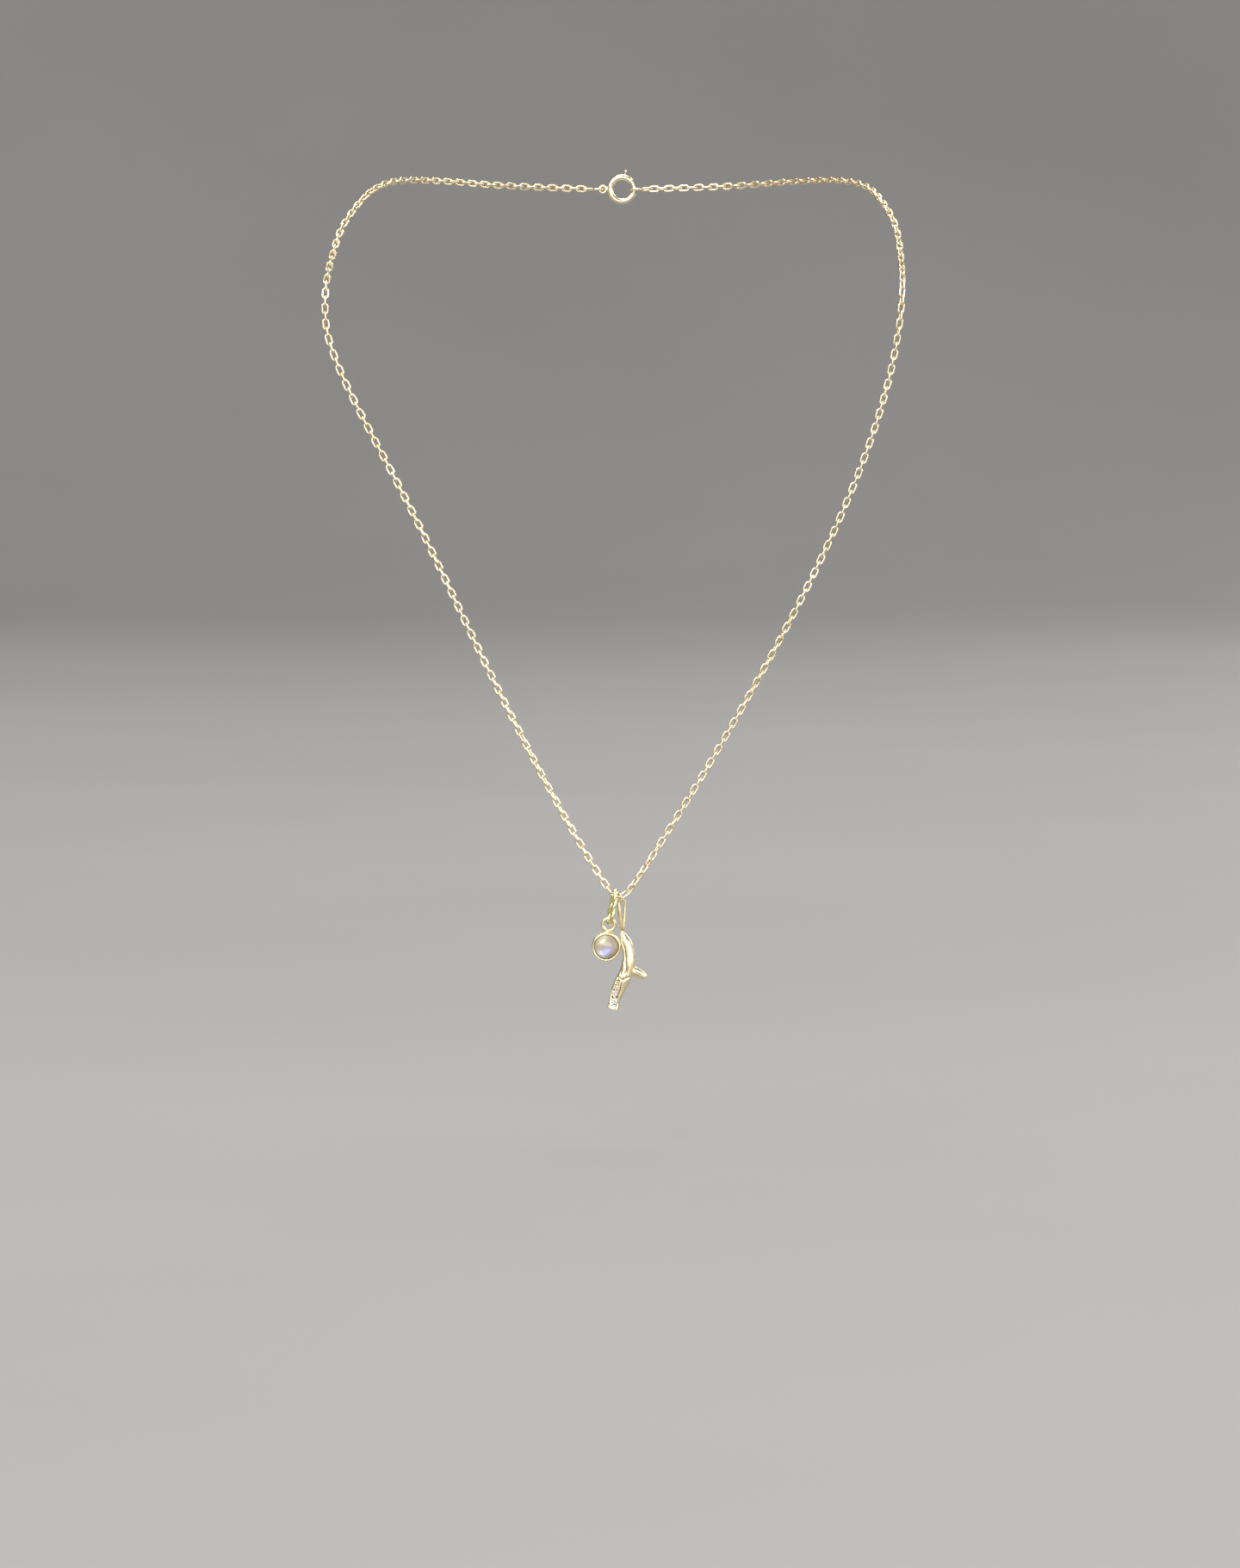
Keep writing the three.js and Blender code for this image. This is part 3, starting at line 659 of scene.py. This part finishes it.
def remeshed(name, V, F, voxel, smooth_steps):
    """Union of overlapping closed bodies as one even skin, in millimetres."""
    me = bpy.data.meshes.new(name)
    me.from_pydata(np.asarray(V).tolist(), [], F)
    me.update()
    ob = bpy.data.objects.new(name, me)
    bpy.context.scene.collection.objects.link(ob)
    r = ob.modifiers.new("r", "REMESH")
    r.mode = "VOXEL"
    r.voxel_size = voxel
    s = ob.modifiers.new("s", "SMOOTH")
    s.factor = 0.5
    s.iterations = smooth_steps
    dg = bpy.context.evaluated_depsgraph_get()
    ev = ob.evaluated_get(dg)
    out = bpy.data.meshes.new_from_object(ev)
    v = np.empty(len(out.vertices) * 3)
    out.vertices.foreach_get("co", v)
    f = [tuple(p.vertices) for p in out.polygons]
    nrm = np.empty(len(out.vertices) * 3)
    out.vertices.foreach_get("normal", nrm)
    bpy.data.objects.remove(ob)
    bpy.data.meshes.remove(me)
    bpy.data.meshes.remove(out)
    return v.reshape(-1, 3), f, nrm.reshape(-1, 3)


# the trunk is modelled past its lower end, which is then cut flat so that its edge stays crisp
LONG = np.vstack([TRUNK, [-1.3, -20.0, 1.19], [-1.37, -20.5, 1.22]])
tc, _ = catmull(np.c_[LONG[:, 0], np.zeros(len(LONG)), LONG[:, 1]], 14)
tr, _ = catmull(np.c_[LONG[:, 2], np.zeros(len(LONG)), LONG[:, 1]], 14)
half = tr[:, 0]
trunk = sweep(tc, np.c_[half * DEPTH, half], 64, caps="flat", ref=(0, 1, 0))
wc, _ = catmull(np.c_[TWIG[:, 0], np.zeros(len(TWIG)), TWIG[:, 1]], 12)
wr, _ = catmull(np.c_[TWIG[:, 2], np.zeros(len(TWIG)), TWIG[:, 1]], 12)
twig = sweep(wc, np.c_[wr[:, 0] * 0.9, wr[:, 0]], 48, ref=(0, 1, 0))
# a swelling where the twig leaves the trunk
a = np.linspace(0, 1, 10)
swell_c = np.c_[0.7 + 1.1 * a, -0.15 + 0 * a, -13.7 + 1.2 * a]
swell = sweep(swell_c, 0.85 - 0.25 * a, 24, ref=(0, 1, 0))
V, F, Nn = remeshed("twig_skin", *join([trunk, twig, swell]), 0.046, 40)

SEG = np.linalg.norm(np.diff(tc, axis=0), axis=1)
SS = np.r_[0, np.cumsum(SEG)]
TT = tangents(tc)
s_cut = np.interp(19.45, -tc[:, 2], SS)


def trunk_coords(V):
    """Smooth coordinates on the trunk: s along it, th round it (0 = front, + = right as seen), r from its centre line."""
    k = ((V[:, None, ::2] - tc[None, :, ::2]) ** 2).sum(2).argmin(1)
    ds = ((V - tc[k]) * TT[k]).sum(1)
    s = SS[k] + ds
    c = np.stack([np.interp(s, SS, tc[:, i]) for i in range(3)], 1)
    T = np.stack([np.interp(s, SS, TT[:, i]) for i in range(3)], 1)
    side = np.c_[-T[:, 2], T[:, 0] * 0, T[:, 0]]
    q = V - c
    across = (q * side).sum(1)
    hw = np.interp(s, SS, half)
    return s, np.arctan2(across / hw, -q[:, 1] / (hw * DEPTH)), np.hypot(across, q[:, 1]), hw


def g(x, w):
    return np.exp(-((x / w) ** 2))


def curve(L, xs, ys):
    """Smooth curve through control points."""
    t = np.interp(L, xs, np.arange(len(xs)))
    i = np.clip(t.astype(int), 0, len(xs) - 2)
    f = t - i
    f = f * f * (3 - 2 * f)
    ys = np.asarray(ys, float)
    return ys[i] * (1 - f) + ys[i + 1] * f


STONES = [
    [-1.04, -18.2, 1.09, 4], [-1.04, -16.7, 0.83, 18], [-0.66, -15.67, 0.61, 20],
    [-0.46, -14.8, 0.46, 28], [-0.21, -14.1, 0.34, 33],
]


# Bark relief as heights along the normals, and in dark a painted shade amount per vertex: grooves, the V crease, the
# left strip and a band on the twig are darkened in colour.
def bark(V, Nn):
    s, th, r, hw = trunk_coords(V)
    on = 1 - np.clip((r - hw * 1.08) / 0.45, 0, 1)
    on = on * on * (3 - 2 * on)
    L = np.clip(s / s_cut, 0, 1.08)
    wav = 0.07 * np.sin(s * 0.8) + 0.04 * np.sin(s * 1.9 + 1)
    h = np.zeros(len(V))
    dark = np.zeros(len(V))

    def groove(xs, line, depth, width, amount=1.0):
        nonlocal h, dark
        ln = curve(L, xs, line) + wav
        dp = curve(L, xs, depth)
        d = th - ln
        d = (d + math.pi) % (2 * math.pi) - math.pi
        k = g(d, width)
        h -= dp * k
        # painted shade: the groove's floor is also darkened in colour
        dark = np.maximum(dark, np.clip(dp / 0.12, 0, 1) * g(d, width * 0.62) * amount)

    def ridge(xs, line, height, width):
        nonlocal h
        d = th - (curve(L, xs, line) + wav)
        d = (d + math.pi) % (2 * math.pi) - math.pi
        h += curve(L, xs, height) * g(d, width)

    # broad smooth ridge down the right of the upper half, and the deep groove to its left
    ridge([0, 0.2, 0.4, 0.55, 0.65], [0.25, 0.2, 0.3, 0.45, 0.6], [0, 0.10, 0.12, 0.06, 0], 0.5)
    groove([0.02, 0.12, 0.25, 0.4, 0.52, 0.62], [-0.95, -0.8, -0.62, -0.42, -0.15, 0.1], [0, 0.12, 0.17, 0.16, 0.1, 0], 0.15)
    # the left strip, and a fainter groove that parts it
    ridge([0.05, 0.25, 0.5, 0.7], [-1.25, -1.1, -0.85, -0.6], [0, 0.07, 0.07, 0], 0.25)
    groove([0.3, 0.42, 0.55, 0.66], [-1.25, -1.15, -0.8, -0.5], [0, 0.06, 0.07, 0], 0.12)
    # grain that gathers below the ridge and runs on to the right flank
    groove([0.4, 0.5, 0.6, 0.7], [0.05, 0.02, 0.12, 0.3], [0, 0.09, 0.09, 0], 0.1)
    groove([0.46, 0.56, 0.66, 0.8, 1.0], [-0.25, -0.3, -0.1, 0.32, 0.42], [0, 0.08, 0.1, 0.11, 0.08], 0.12)
    ridge([0.5, 0.62, 0.8, 1.0], [0.75, 0.7, 0.72, 0.75], [0, 0.07, 0.09, 0.07], 0.24)
    groove([0.58, 0.68, 0.84, 1.0], [1.15, 1.1, 1.1, 1.15], [0, 0.08, 0.1, 0.06], 0.14)
    ridge([0.55, 0.7, 0.85, 1.0], [-1.15, -1.05, -0.95, -0.95], [0, 0.08, 0.09, 0.08], 0.2)
    # round the back: slower, wider furrows
    for c0, dp, w0 in ((1.75, 0.08, 0.2), (2.35, 0.1, 0.16), (2.95, 0.07, 0.2), (-2.6, 0.1, 0.17), (-1.95, 0.08, 0.18)):
        groove([0, 0.12, 0.5, 0.9, 1.0], [c0 * 0.95, c0, c0 + 0.12, c0 - 0.08, c0], [0, dp, dp * 0.6, dp, dp * 0.7], w0, 0.7)
    # fine grain
    fade = np.interp(L, [0, 0.1, 0.25, 1.0], [0, 0.3, 1, 1])
    for f, ph, am in ((19, 0.3, 0.006), (31, 4.0, 0.004)):
        h += am * np.sin(f * th + ph + 1.6 * np.sin(s * 0.4 + ph) + s * 0.2) * fade
    # painted shade: the left strip is darkened a little in colour
    strip = g(th + 1.25, 0.42) * np.interp(L, [0, 0.08, 0.4, 0.62], [0, 1, 1, 0])
    dark = np.maximum(dark, 0.2 * strip)
    h *= on
    dark *= on
    # a crease shaped like a V under the twig, its floor darkened with painted shade
    p = V[:, [0, 2]]
    for (ax, az), (bx, bz), dp in (((0.5, -14.3), (1.6, -13.78), 0.1), ((0.5, -14.3), (-0.1, -14.0), 0.04)):
        d = np.array([bx - ax, bz - az])
        t = np.clip(((p - [ax, az]) @ d) / (d @ d), 0, 1)
        dist = np.hypot(*(p - (np.array([ax, az]) + t[:, None] * d)).T)
        k = g(dist, 0.19) * np.clip(-V[:, 1] / 0.5, 0, 1)
        h -= dp * k
        dark = np.maximum(dark, dp / 0.1 * g(dist, 0.1) * np.clip(-V[:, 1] / 0.5, 0, 1) * 0.55)
    # side twig: long flutes, fading at its rounded tip
    tw = np.clip((V[:, 0] - 2.0) / 0.7, 0, 1) * np.clip((4.25 - V[:, 0]) / 0.5, 0, 1) * (V[:, 2] > -15) * (1 - on)
    axz = np.interp(V[:, 0], wc[:, 0], wc[:, 2])
    ta = np.arctan2(V[:, 2] - axz, -V[:, 1])
    h += tw * (0.05 * np.sin(5 * ta + 0.6 + 0.5 * V[:, 0]) + 0.02 * np.sin(9 * ta + 2.0))
    # painted dark reflection: a band along the front of the twig is darkened in colour
    dark = np.maximum(dark, tw * 0.4 * g(((ta - 0.15) + math.pi) % (2 * math.pi) - math.pi, 0.45))
    h = np.where(h < 0, 0.19 * np.tanh(h / 0.19), h)
    return V + Nn * h[:, None], dark, s


V, dark, s_of = bark(V, Nn)


def centre_at(z):
    zz = TRUNK[::-1, 1]
    return np.interp(z, zz, TRUNK[::-1, 0]), np.interp(z, zz, TRUNK[::-1, 2])


def seat_frame(x, z, turn):
    cx, hw = centre_at(z)
    y = -hw * DEPTH * math.sqrt(max(0.05, 1 - ((x - cx) / hw) ** 2))
    t = math.radians(turn)
    n = np.array([-math.sin(t), -math.cos(t), 0.0])  # outward
    u = np.array([math.cos(t), -math.sin(t), 0.0])
    return np.array([x, y + 0.02, z]), n, u


# bright-cut channel that the stones sit in, a round seat under each, and drilled pits between them; seats and pits are
# darkened with painted shade
chan = np.array([[q[0], q[1], q[2]] for q in STONES])
order = np.argsort(chan[:, 1])
zq = V[:, 2]
cxs = np.interp(zq, chan[order, 1], chan[order, 0])
wid = np.interp(zq, chan[order, 1], chan[order, 2]) * 0.5 + 0.15
inz = np.clip((zq + 18.98) / 0.2, 0, 1) * np.clip((-13.75 - zq) / 0.2, 0, 1)
front = V[:, 1] < -0.25
prof = np.clip(1 - np.abs((V[:, 0] - cxs) / wid) ** 6, 0, 1)
V[:, 1] += np.where(front, 0.075 * prof * inz, 0)


def pit(c, n, u, r, deep, painted_shade):
    global V, dark
    w = np.cross(n, u)
    q = V - c
    rr = np.hypot(q @ u, q @ w)
    k = np.clip(1 - (rr / r) ** 4, 0, 1) * (np.abs(q @ n) < 0.7)
    lower = np.minimum(0, -deep * k - (q @ n) * (k > 0))
    V = V + n[None, :] * np.where(k > 0, np.maximum(lower, -deep * 1.6), 0)[:, None]
    # painted shade: the hollow is darkened in colour
    dark = np.maximum(dark, painted_shade * np.clip(k * 1.6, 0, 1))


for x, z, d, turn in STONES:
    c, n, u = seat_frame(x, z, turn)
    pit(c + n * 0.03, n, u, d * 0.58, 0.36 * d, 0.85)
for i in range(len(STONES) - 1):
    (x0, z0, d0, t0), (x1, z1, d1, t1) = STONES[i], STONES[i + 1]
    gap0, gap1 = z0 + d0 / 2, z1 - d1 / 2
    zm = (gap0 + gap1) / 2
    k = (zm - z0) / (z1 - z0)
    xm = x0 + (x1 - x0) * k
    rp = 0.1 + 0.05 * (d0 + d1) / 2
    for sgn in (-1, 1):
        c, n, u = seat_frame(xm + sgn * 0.36 * (d0 + d1) / 2, zm, t0 + (t1 - t0) * k)
        pit(c + n * 0.02, n, u, rp * 1.15, 0.2, 1.0)
for dx, dz in ((-0.42, 0.0), (0.42, -0.03)):
    c, n, u = seat_frame(-1.04 + dx, -18.86 + dz, 2)
    pit(c + n * 0.02, n, u, 0.13, 0.16, 0.9)
c, n, u = seat_frame(-0.1, -13.75, 33)
pit(c + n * 0.02, n, u, 0.11, 0.14, 1.0)


def cut_flat(name, V, F, dark, co, no):
    """Skin cut by a plane and closed there, with the painted shade kept per vertex. Returns the object, in the row
    frame.
    """
    import bmesh
    b = bmesh.new()
    lay = b.verts.layers.float.new("painted_shade")
    vs = []
    for p, dk in zip(world(V).tolist(), dark):
        v = b.verts.new(p)
        v[lay] = float(dk)
        vs.append(v)
    for f in F:
        b.faces.new([vs[i] for i in f])
    r = bmesh.ops.bisect_plane(b, geom=b.verts[:] + b.edges[:] + b.faces[:], dist=1e-7, plane_co=co, plane_no=no, clear_outer=True)
    rim = [e for e in r["geom_cut"] if isinstance(e, bmesh.types.BMEdge)]
    made = bmesh.ops.edgeloop_fill(b, edges=rim)
    bmesh.ops.recalc_face_normals(b, faces=b.faces)
    cap = set(f for f in made["faces"])
    ring = bmesh.ops.inset_region(b, faces=list(cap), thickness=2.5e-5, depth=1.2e-5)
    me = bpy.data.meshes.new(name)
    for f in b.faces:
        f.smooth = True
    b.to_mesh(me)
    b.free()
    me.set_sharp_from_angle(angle=math.radians(55))
    ob = bpy.data.objects.new(name, me)
    bpy.context.scene.collection.objects.link(ob)
    return ob


m = Mat("branch_gold")
m.b.inputs["Metallic"].default_value = 1.0
v = m.mapped()
slow = m.noise(v, 260.0, 3.0)
# painted shade: the per-vertex shade darkens the gold towards brown-grey in grooves, creases, seats and pits, on the
# left strip and on the twig
painted_shade = m.t.nodes.new("ShaderNodeAttribute")
painted_shade.attribute_name = "painted_shade"
tone = m.ramp(slow, [(0.3, lin(242, 224, 178)), (0.7, lin(250, 238, 200))])
m.link(m.mix(painted_shade.outputs["Fac"], tone, lin(74, 64, 52)), m.b.inputs["Base Color"])
fine = m.noise(v, 1900.0, 5.0, 0.6)
m.link(m.remap(fine, 0.3, 0.7, 0.24, 0.38), m.b.inputs["Roughness"])
grain = m.noise(m.mapped(scale=(1.0, 1.0, 0.16), rot=(0, 0.2, 0)), 2600.0, 4.0, 0.6, 0.3)
m.bump(grain, 0.25, 7e-6)
BRANCHG = m.m
cut_n = Vector((-0.2, 0, -1.0)).normalized()
ob = cut_flat("twig_trunk", V, F, dark, Vector(world([-1.21, 0, -19.5])[0]), cut_n)
ob.data.materials.append(BRANCHG)
place(ob, "branch", "branch_gold", "branch_body")

# wire loop at its top
BAIL = np.array([
    [-0.1, -0.05, -0.19, 0.18], [-0.15, -0.47, -0.34, 0.19], [-0.2, -0.64, -0.95, 0.26],
    [-0.1, -0.62, -1.9, 0.34], [0.03, -0.55, -3.1, 0.34], [0.19, -0.45, -4.3, 0.34],
    [0.32, -0.26, -5.2, 0.33], [0.43, 0.06, -5.5, 0.29], [0.56, 0.36, -5.1, 0.22],
    [0.7, 0.62, -4.1, 0.2], [0.81, 0.85, -2.6, 0.2], [0.89, 0.96, -1.4, 0.2],
    [0.88, 0.95, -0.6, 0.2], [0.62, 0.76, -0.2, 0.19], [0.22, 0.35, -0.12, 0.19],
])
bc, _ = catmull(BAIL, 10, True)
place(make("bail_wire", *sweep(bc[:, :3], bc[:, 3], 16, closed=True, ref=(1, 0, 0)), BAIL_SHADED_GOLD), "branch", "branch_gold", "branch_bail")

# stones: round brilliants, each held by small raised beads
m = Mat("diamond")
m.b.inputs["Base Color"].default_value = (0.96, 0.97, 1.0, 1.0)
m.b.inputs["Roughness"].default_value = 0.01
m.b.inputs["IOR"].default_value = 2.0
m.b.inputs["Transmission Weight"].default_value = 0.82
m.b.inputs["Specular Tint"].default_value = (1.0, 1.0, 1.0, 1.0)
tint = m.noise(m.mapped(), 2500.0, 2.0)
m.link(m.ramp(tint, [(0.35, (0.78, 0.8, 0.86)), (0.65, (1.0, 1.0, 1.0))]), m.b.inputs["Base Color"])
DIAMOND = m.m


def brilliant(c, n, u, d):
    r = d / 2
    w = np.cross(n, u)
    rings = [(0.56, 0.155, 8, 0), (0.79, 0.085, 8, 22.5), (1.0, 0.012, 16, 0), (1.0, -0.012, 16, 0), (0.5, -0.22, 8, 22.5)]
    V, idx = [], []
    for rr, h, k, ph in rings:
        idx.append(list(range(len(V), len(V) + k)))
        for j in range(k):
            a = math.radians(ph) + 2 * math.pi * j / k
            V.append(c + (u * math.cos(a) + w * math.sin(a)) * rr * r + n * h * d)
    tip = len(V)
    V.append(c - n * 0.43 * d)
    F = [tuple(idx[0])]
    T, C, G, H, Pv = idx
    for j in range(8):
        k = (j + 1) % 8
        F.append((T[j], C[j], T[k]))
        F.append((T[k], C[j], G[2 * k % 16], C[k]) if False else (T[k], C[j], C[k]))
        F.append((C[j], G[2 * j], G[2 * j + 1]))
        F.append((C[j], G[2 * j + 1], G[(2 * j + 2) % 16]))
        F.append((C[j], G[(2 * j + 2) % 16], C[k]))
        F.append((H[2 * j], Pv[j], H[2 * j + 1]))
        F.append((H[2 * j + 1], Pv[j], H[(2 * j + 2) % 16]))
        F.append((H[(2 * j + 2) % 16], Pv[j], Pv[k]))
        F.append((Pv[j], tip, Pv[k]))
    for j in range(16):
        k = (j + 1) % 16
        F.append((G[j], H[j], H[k], G[k]))
    return np.array(V), F


def fixed_normals(ob):
    import bmesh
    b = bmesh.new()
    b.from_mesh(ob.data)
    bmesh.ops.recalc_face_normals(b, faces=b.faces)
    b.to_mesh(ob.data)
    b.free()
    return ob


beads = []
for i, (x, z, d, turn) in enumerate(STONES):
    c, n, u = seat_frame(x, z, turn)
    ob = fixed_normals(make(f"stone_{i + 1}", *brilliant(c - n * 0.01, n, u, d), DIAMOND, False))
    place(ob, "branch", "diamond", f"pave_stone_{i + 1}")
    w = np.cross(n, u)
    nb = 4
    for j in range(nb):
        a = math.radians(45 + 90 * j + (0, 6, -5, 8, 0)[i])
        p = c + (u * math.cos(a) + w * math.sin(a)) * (d * 0.54 + 0.035) + n * 0.03
        br = 0.055 + 0.035 * d
        t = np.linspace(0, 1, 7)
        stem = p[None, :] + n[None, :] * (-0.12 + 0.12 * t)[:, None]
        beads.append(sweep(stem, np.full(7, br), 12, ref=tuple(u)))
ob = make("stone_beads", *join(beads), BRANCHG)
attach(ob, "branch")

# ------------------------------------------------------------------ clasp
CC = np.array([0.35, 46.5, 127.0])
CR = 2.2


def arc(a0, a1, r=CR, n=60):
    a = np.radians(np.linspace(a0, a1, n))
    return np.c_[CC[0] + r * np.cos(a), np.full(n, CC[1]), CC[2] + r * np.sin(a)]


NT = 301
tube_p = arc(40, 340, n=NT)
deg = np.arange(NT) * 1.0
tube_r = np.full(NT, 0.55)
# the mouths are closed with rounded collars
for c0 in (4.0, 296.0):
    tube_r += 0.055 * np.exp(-(((deg - c0) / 2.2) ** 2))
for c0 in (9.5, 290.5):
    tube_r -= 0.03 * np.exp(-(((deg - c0) / 1.3) ** 2))
edge = np.minimum(deg, 300 - deg)
tube_r -= 0.13 * np.clip(1 - edge / 3.0, 0, 1) ** 2
shell = sweep(tube_p, tube_r, 36, caps="flat")
place(make("clasp_tube", *shell, CLASPG, True, 60), "clasp", "clasp_gold", "clasp_ring")

bolt = sweep(arc(-24, 60, n=40), 0.27, 16)
u78 = np.array([math.cos(math.radians(78)), 0, math.sin(math.radians(78))])
t = np.linspace(0, 1, 12)
lev_p = CC[None, :] + u78[None, :] * (CR + 0.35 + 0.85 * t)[:, None]
lever = sweep(lev_p, 0.13 - 0.02 * np.sin(t * math.pi), 16, ref=(0, 1, 0))
kq = np.linspace(-0.245, 0.245, 17)
knob = sweep(CC[None, :] + u78[None, :] * (CR + 1.16 + kq)[:, None], np.sqrt(np.clip(0.25**2 - kq**2, 4e-4, 1)), 24, caps="flat", ref=(0, 1, 0))
place(make("clasp_thumb_bolt", *join([bolt, lever, knob]), CLASPG), "clasp_bolt", "clasp_gold", "clasp_bolt")

ex = CC[0] - CR - 0.55 - 0.05 - 0.72
a = np.arange(48) / 48 * 2 * math.pi
eye = np.c_[ex + 0.62 * np.cos(a), np.full(48, CC[1]), CC[2] + 0.62 * np.sin(a)]
foot = np.c_[np.linspace(ex + 0.5, ex + 0.86, 6), np.full(6, CC[1]), np.full(6, CC[2])]
place(make("clasp_eye_ring", *join([sweep(eye, 0.2, 14, closed=True, ref=(0, 1, 0)), sweep(foot, np.linspace(0.16, 0.27, 6), 14, caps="flat", ref=(0, 1, 0))]), CLASPG),
      "clasp", "clasp_gold", "clasp_eye")
jr = np.c_[ex - 1.0 + 0.95 * np.cos(a), CC[1] + 0.95 * np.sin(a), np.full(48, CC[2])]
place(make("clasp_jump_ring_wire", *sweep(jr, 0.19, 14, closed=True, ref=(0, 0, 1)), CLASPG), "neck_chain", "clasp_gold", "clasp_jump_ring")
cr = np.c_[CC[0] + CR + 0.42 + 1.1 * np.cos(a), CC[1] + 1.1 * np.sin(a), np.full(48, CC[2])]
place(make("catch_ring_wire", *sweep(cr, np.c_[np.full(48, 0.22), np.full(48, 0.24)], 14, closed=True, ref=(0, 0, 1)), CLASPG), "neck_chain", "clasp_gold", "catch_ring")
sp_c = arc(112, 168, n=260)
st = tangents(sp_c)
sn = by_ref(st, (0, 1, 0))
sb = np.cross(st, sn)
aa = np.linspace(0, 2 * math.pi * 14, 260)
spring = sweep(sp_c + sn * (0.2 * np.cos(aa))[:, None] + sb * (0.2 * np.sin(aa))[:, None], 0.045, 8)
coil = place(make("clasp_spring_coil", *spring, CLASPG), "clasp", "clasp_gold", "clasp_spring")
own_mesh(coil)

# ------------------------------------------------------------------ stage
FLOOR_Z = -0.172
m = Mat("floor_paint")
v = m.mapped()
n1 = m.noise(v, 3.0, 3.0)
m.link(m.ramp(n1, [(0.3, (0.215, 0.212, 0.208)), (0.7, (0.23, 0.227, 0.223))]), m.b.inputs["Base Color"])
m.b.inputs["Roughness"].default_value = 0.75
m.bump(m.noise(v, 900.0, 3.0), 0.05, 1e-4)
# one round sweep: flat under the object, curving up into a wall all the way round
prof = [(r, FLOOR_Z) for r in (0.3, 0.8, 1.5, 2.2)]
prof += [(2.2 + 1.1 * math.sin(t), FLOOR_Z + 1.1 * (1 - math.cos(t))) for t in np.linspace(0, math.pi / 2, 19)[1:]]
prof += [(3.3, 2.2), (3.3, 3.4)]
SIDES = 96
SV = [(0.0, 0.0, FLOOR_Z)] + [(r * math.cos(2 * math.pi * i / SIDES), r * math.sin(2 * math.pi * i / SIDES), z) for r, z in prof for i in range(SIDES)]
SF = [(0, 1 + i, 1 + (i + 1) % SIDES) for i in range(SIDES)]
for j in range(len(prof) - 1):
    for i in range(SIDES):
        k = (i + 1) % SIDES
        SF.append((1 + j * SIDES + i, 1 + (j + 1) * SIDES + i, 1 + (j + 1) * SIDES + k, 1 + j * SIDES + k))
me = bpy.data.meshes.new("floor")
me.from_pydata(SV, [], SF)
me.polygons.foreach_set("use_smooth", [True] * len(me.polygons))
me.materials.append(m.m)
floor = bpy.data.objects.new("floor", me)
bpy.context.scene.collection.objects.link(floor)


def area(name, loc, size, power, color=(1, 1, 1), target=(0, -0.015, -0.09), size_y=None):
    d = bpy.data.lights.new(name, "AREA")
    d.energy = power
    d.color = color
    d.shape = "ELLIPSE"
    d.size = size
    d.size_y = size_y or size
    o = bpy.data.objects.new(name, d)
    o.location = loc
    o.rotation_euler = (Vector(target) - Vector(loc)).to_track_quat("-Z", "Y").to_euler()
    o.visible_camera = False
    bpy.context.scene.collection.objects.link(o)
    return o


area("key", (-1.25, -1.9, 1.75), 2.6, 118, (1.0, 0.99, 0.97))
area("front", (0.5, -2.6, 0.25), 3.0, 66, (1.0, 0.995, 0.985), size_y=2.0)
area("fill", (2.2, -0.7, 0.3), 1.2, 24, (0.97, 0.985, 1.0), size_y=2.2)
area("top", (0.1, 0.6, 2.4), 2.2, 60, (1.0, 0.99, 0.97))
area("rim", (1.3, 1.9, 0.8), 1.0, 26, (1.0, 0.98, 0.94), size_y=1.8)
w = bpy.data.worlds.new("world")
bpy.context.scene.world = w
w.use_nodes = True
w.node_tree.nodes["Background"].inputs[0].default_value = (0.62, 0.62, 0.63, 1)
w.node_tree.nodes["Background"].inputs[1].default_value = 0.4
bpy.context.scene.view_settings.view_transform = "Standard"
bpy.context.scene.view_settings.look = "None"
bpy.context.scene.view_settings.exposure = 0.0
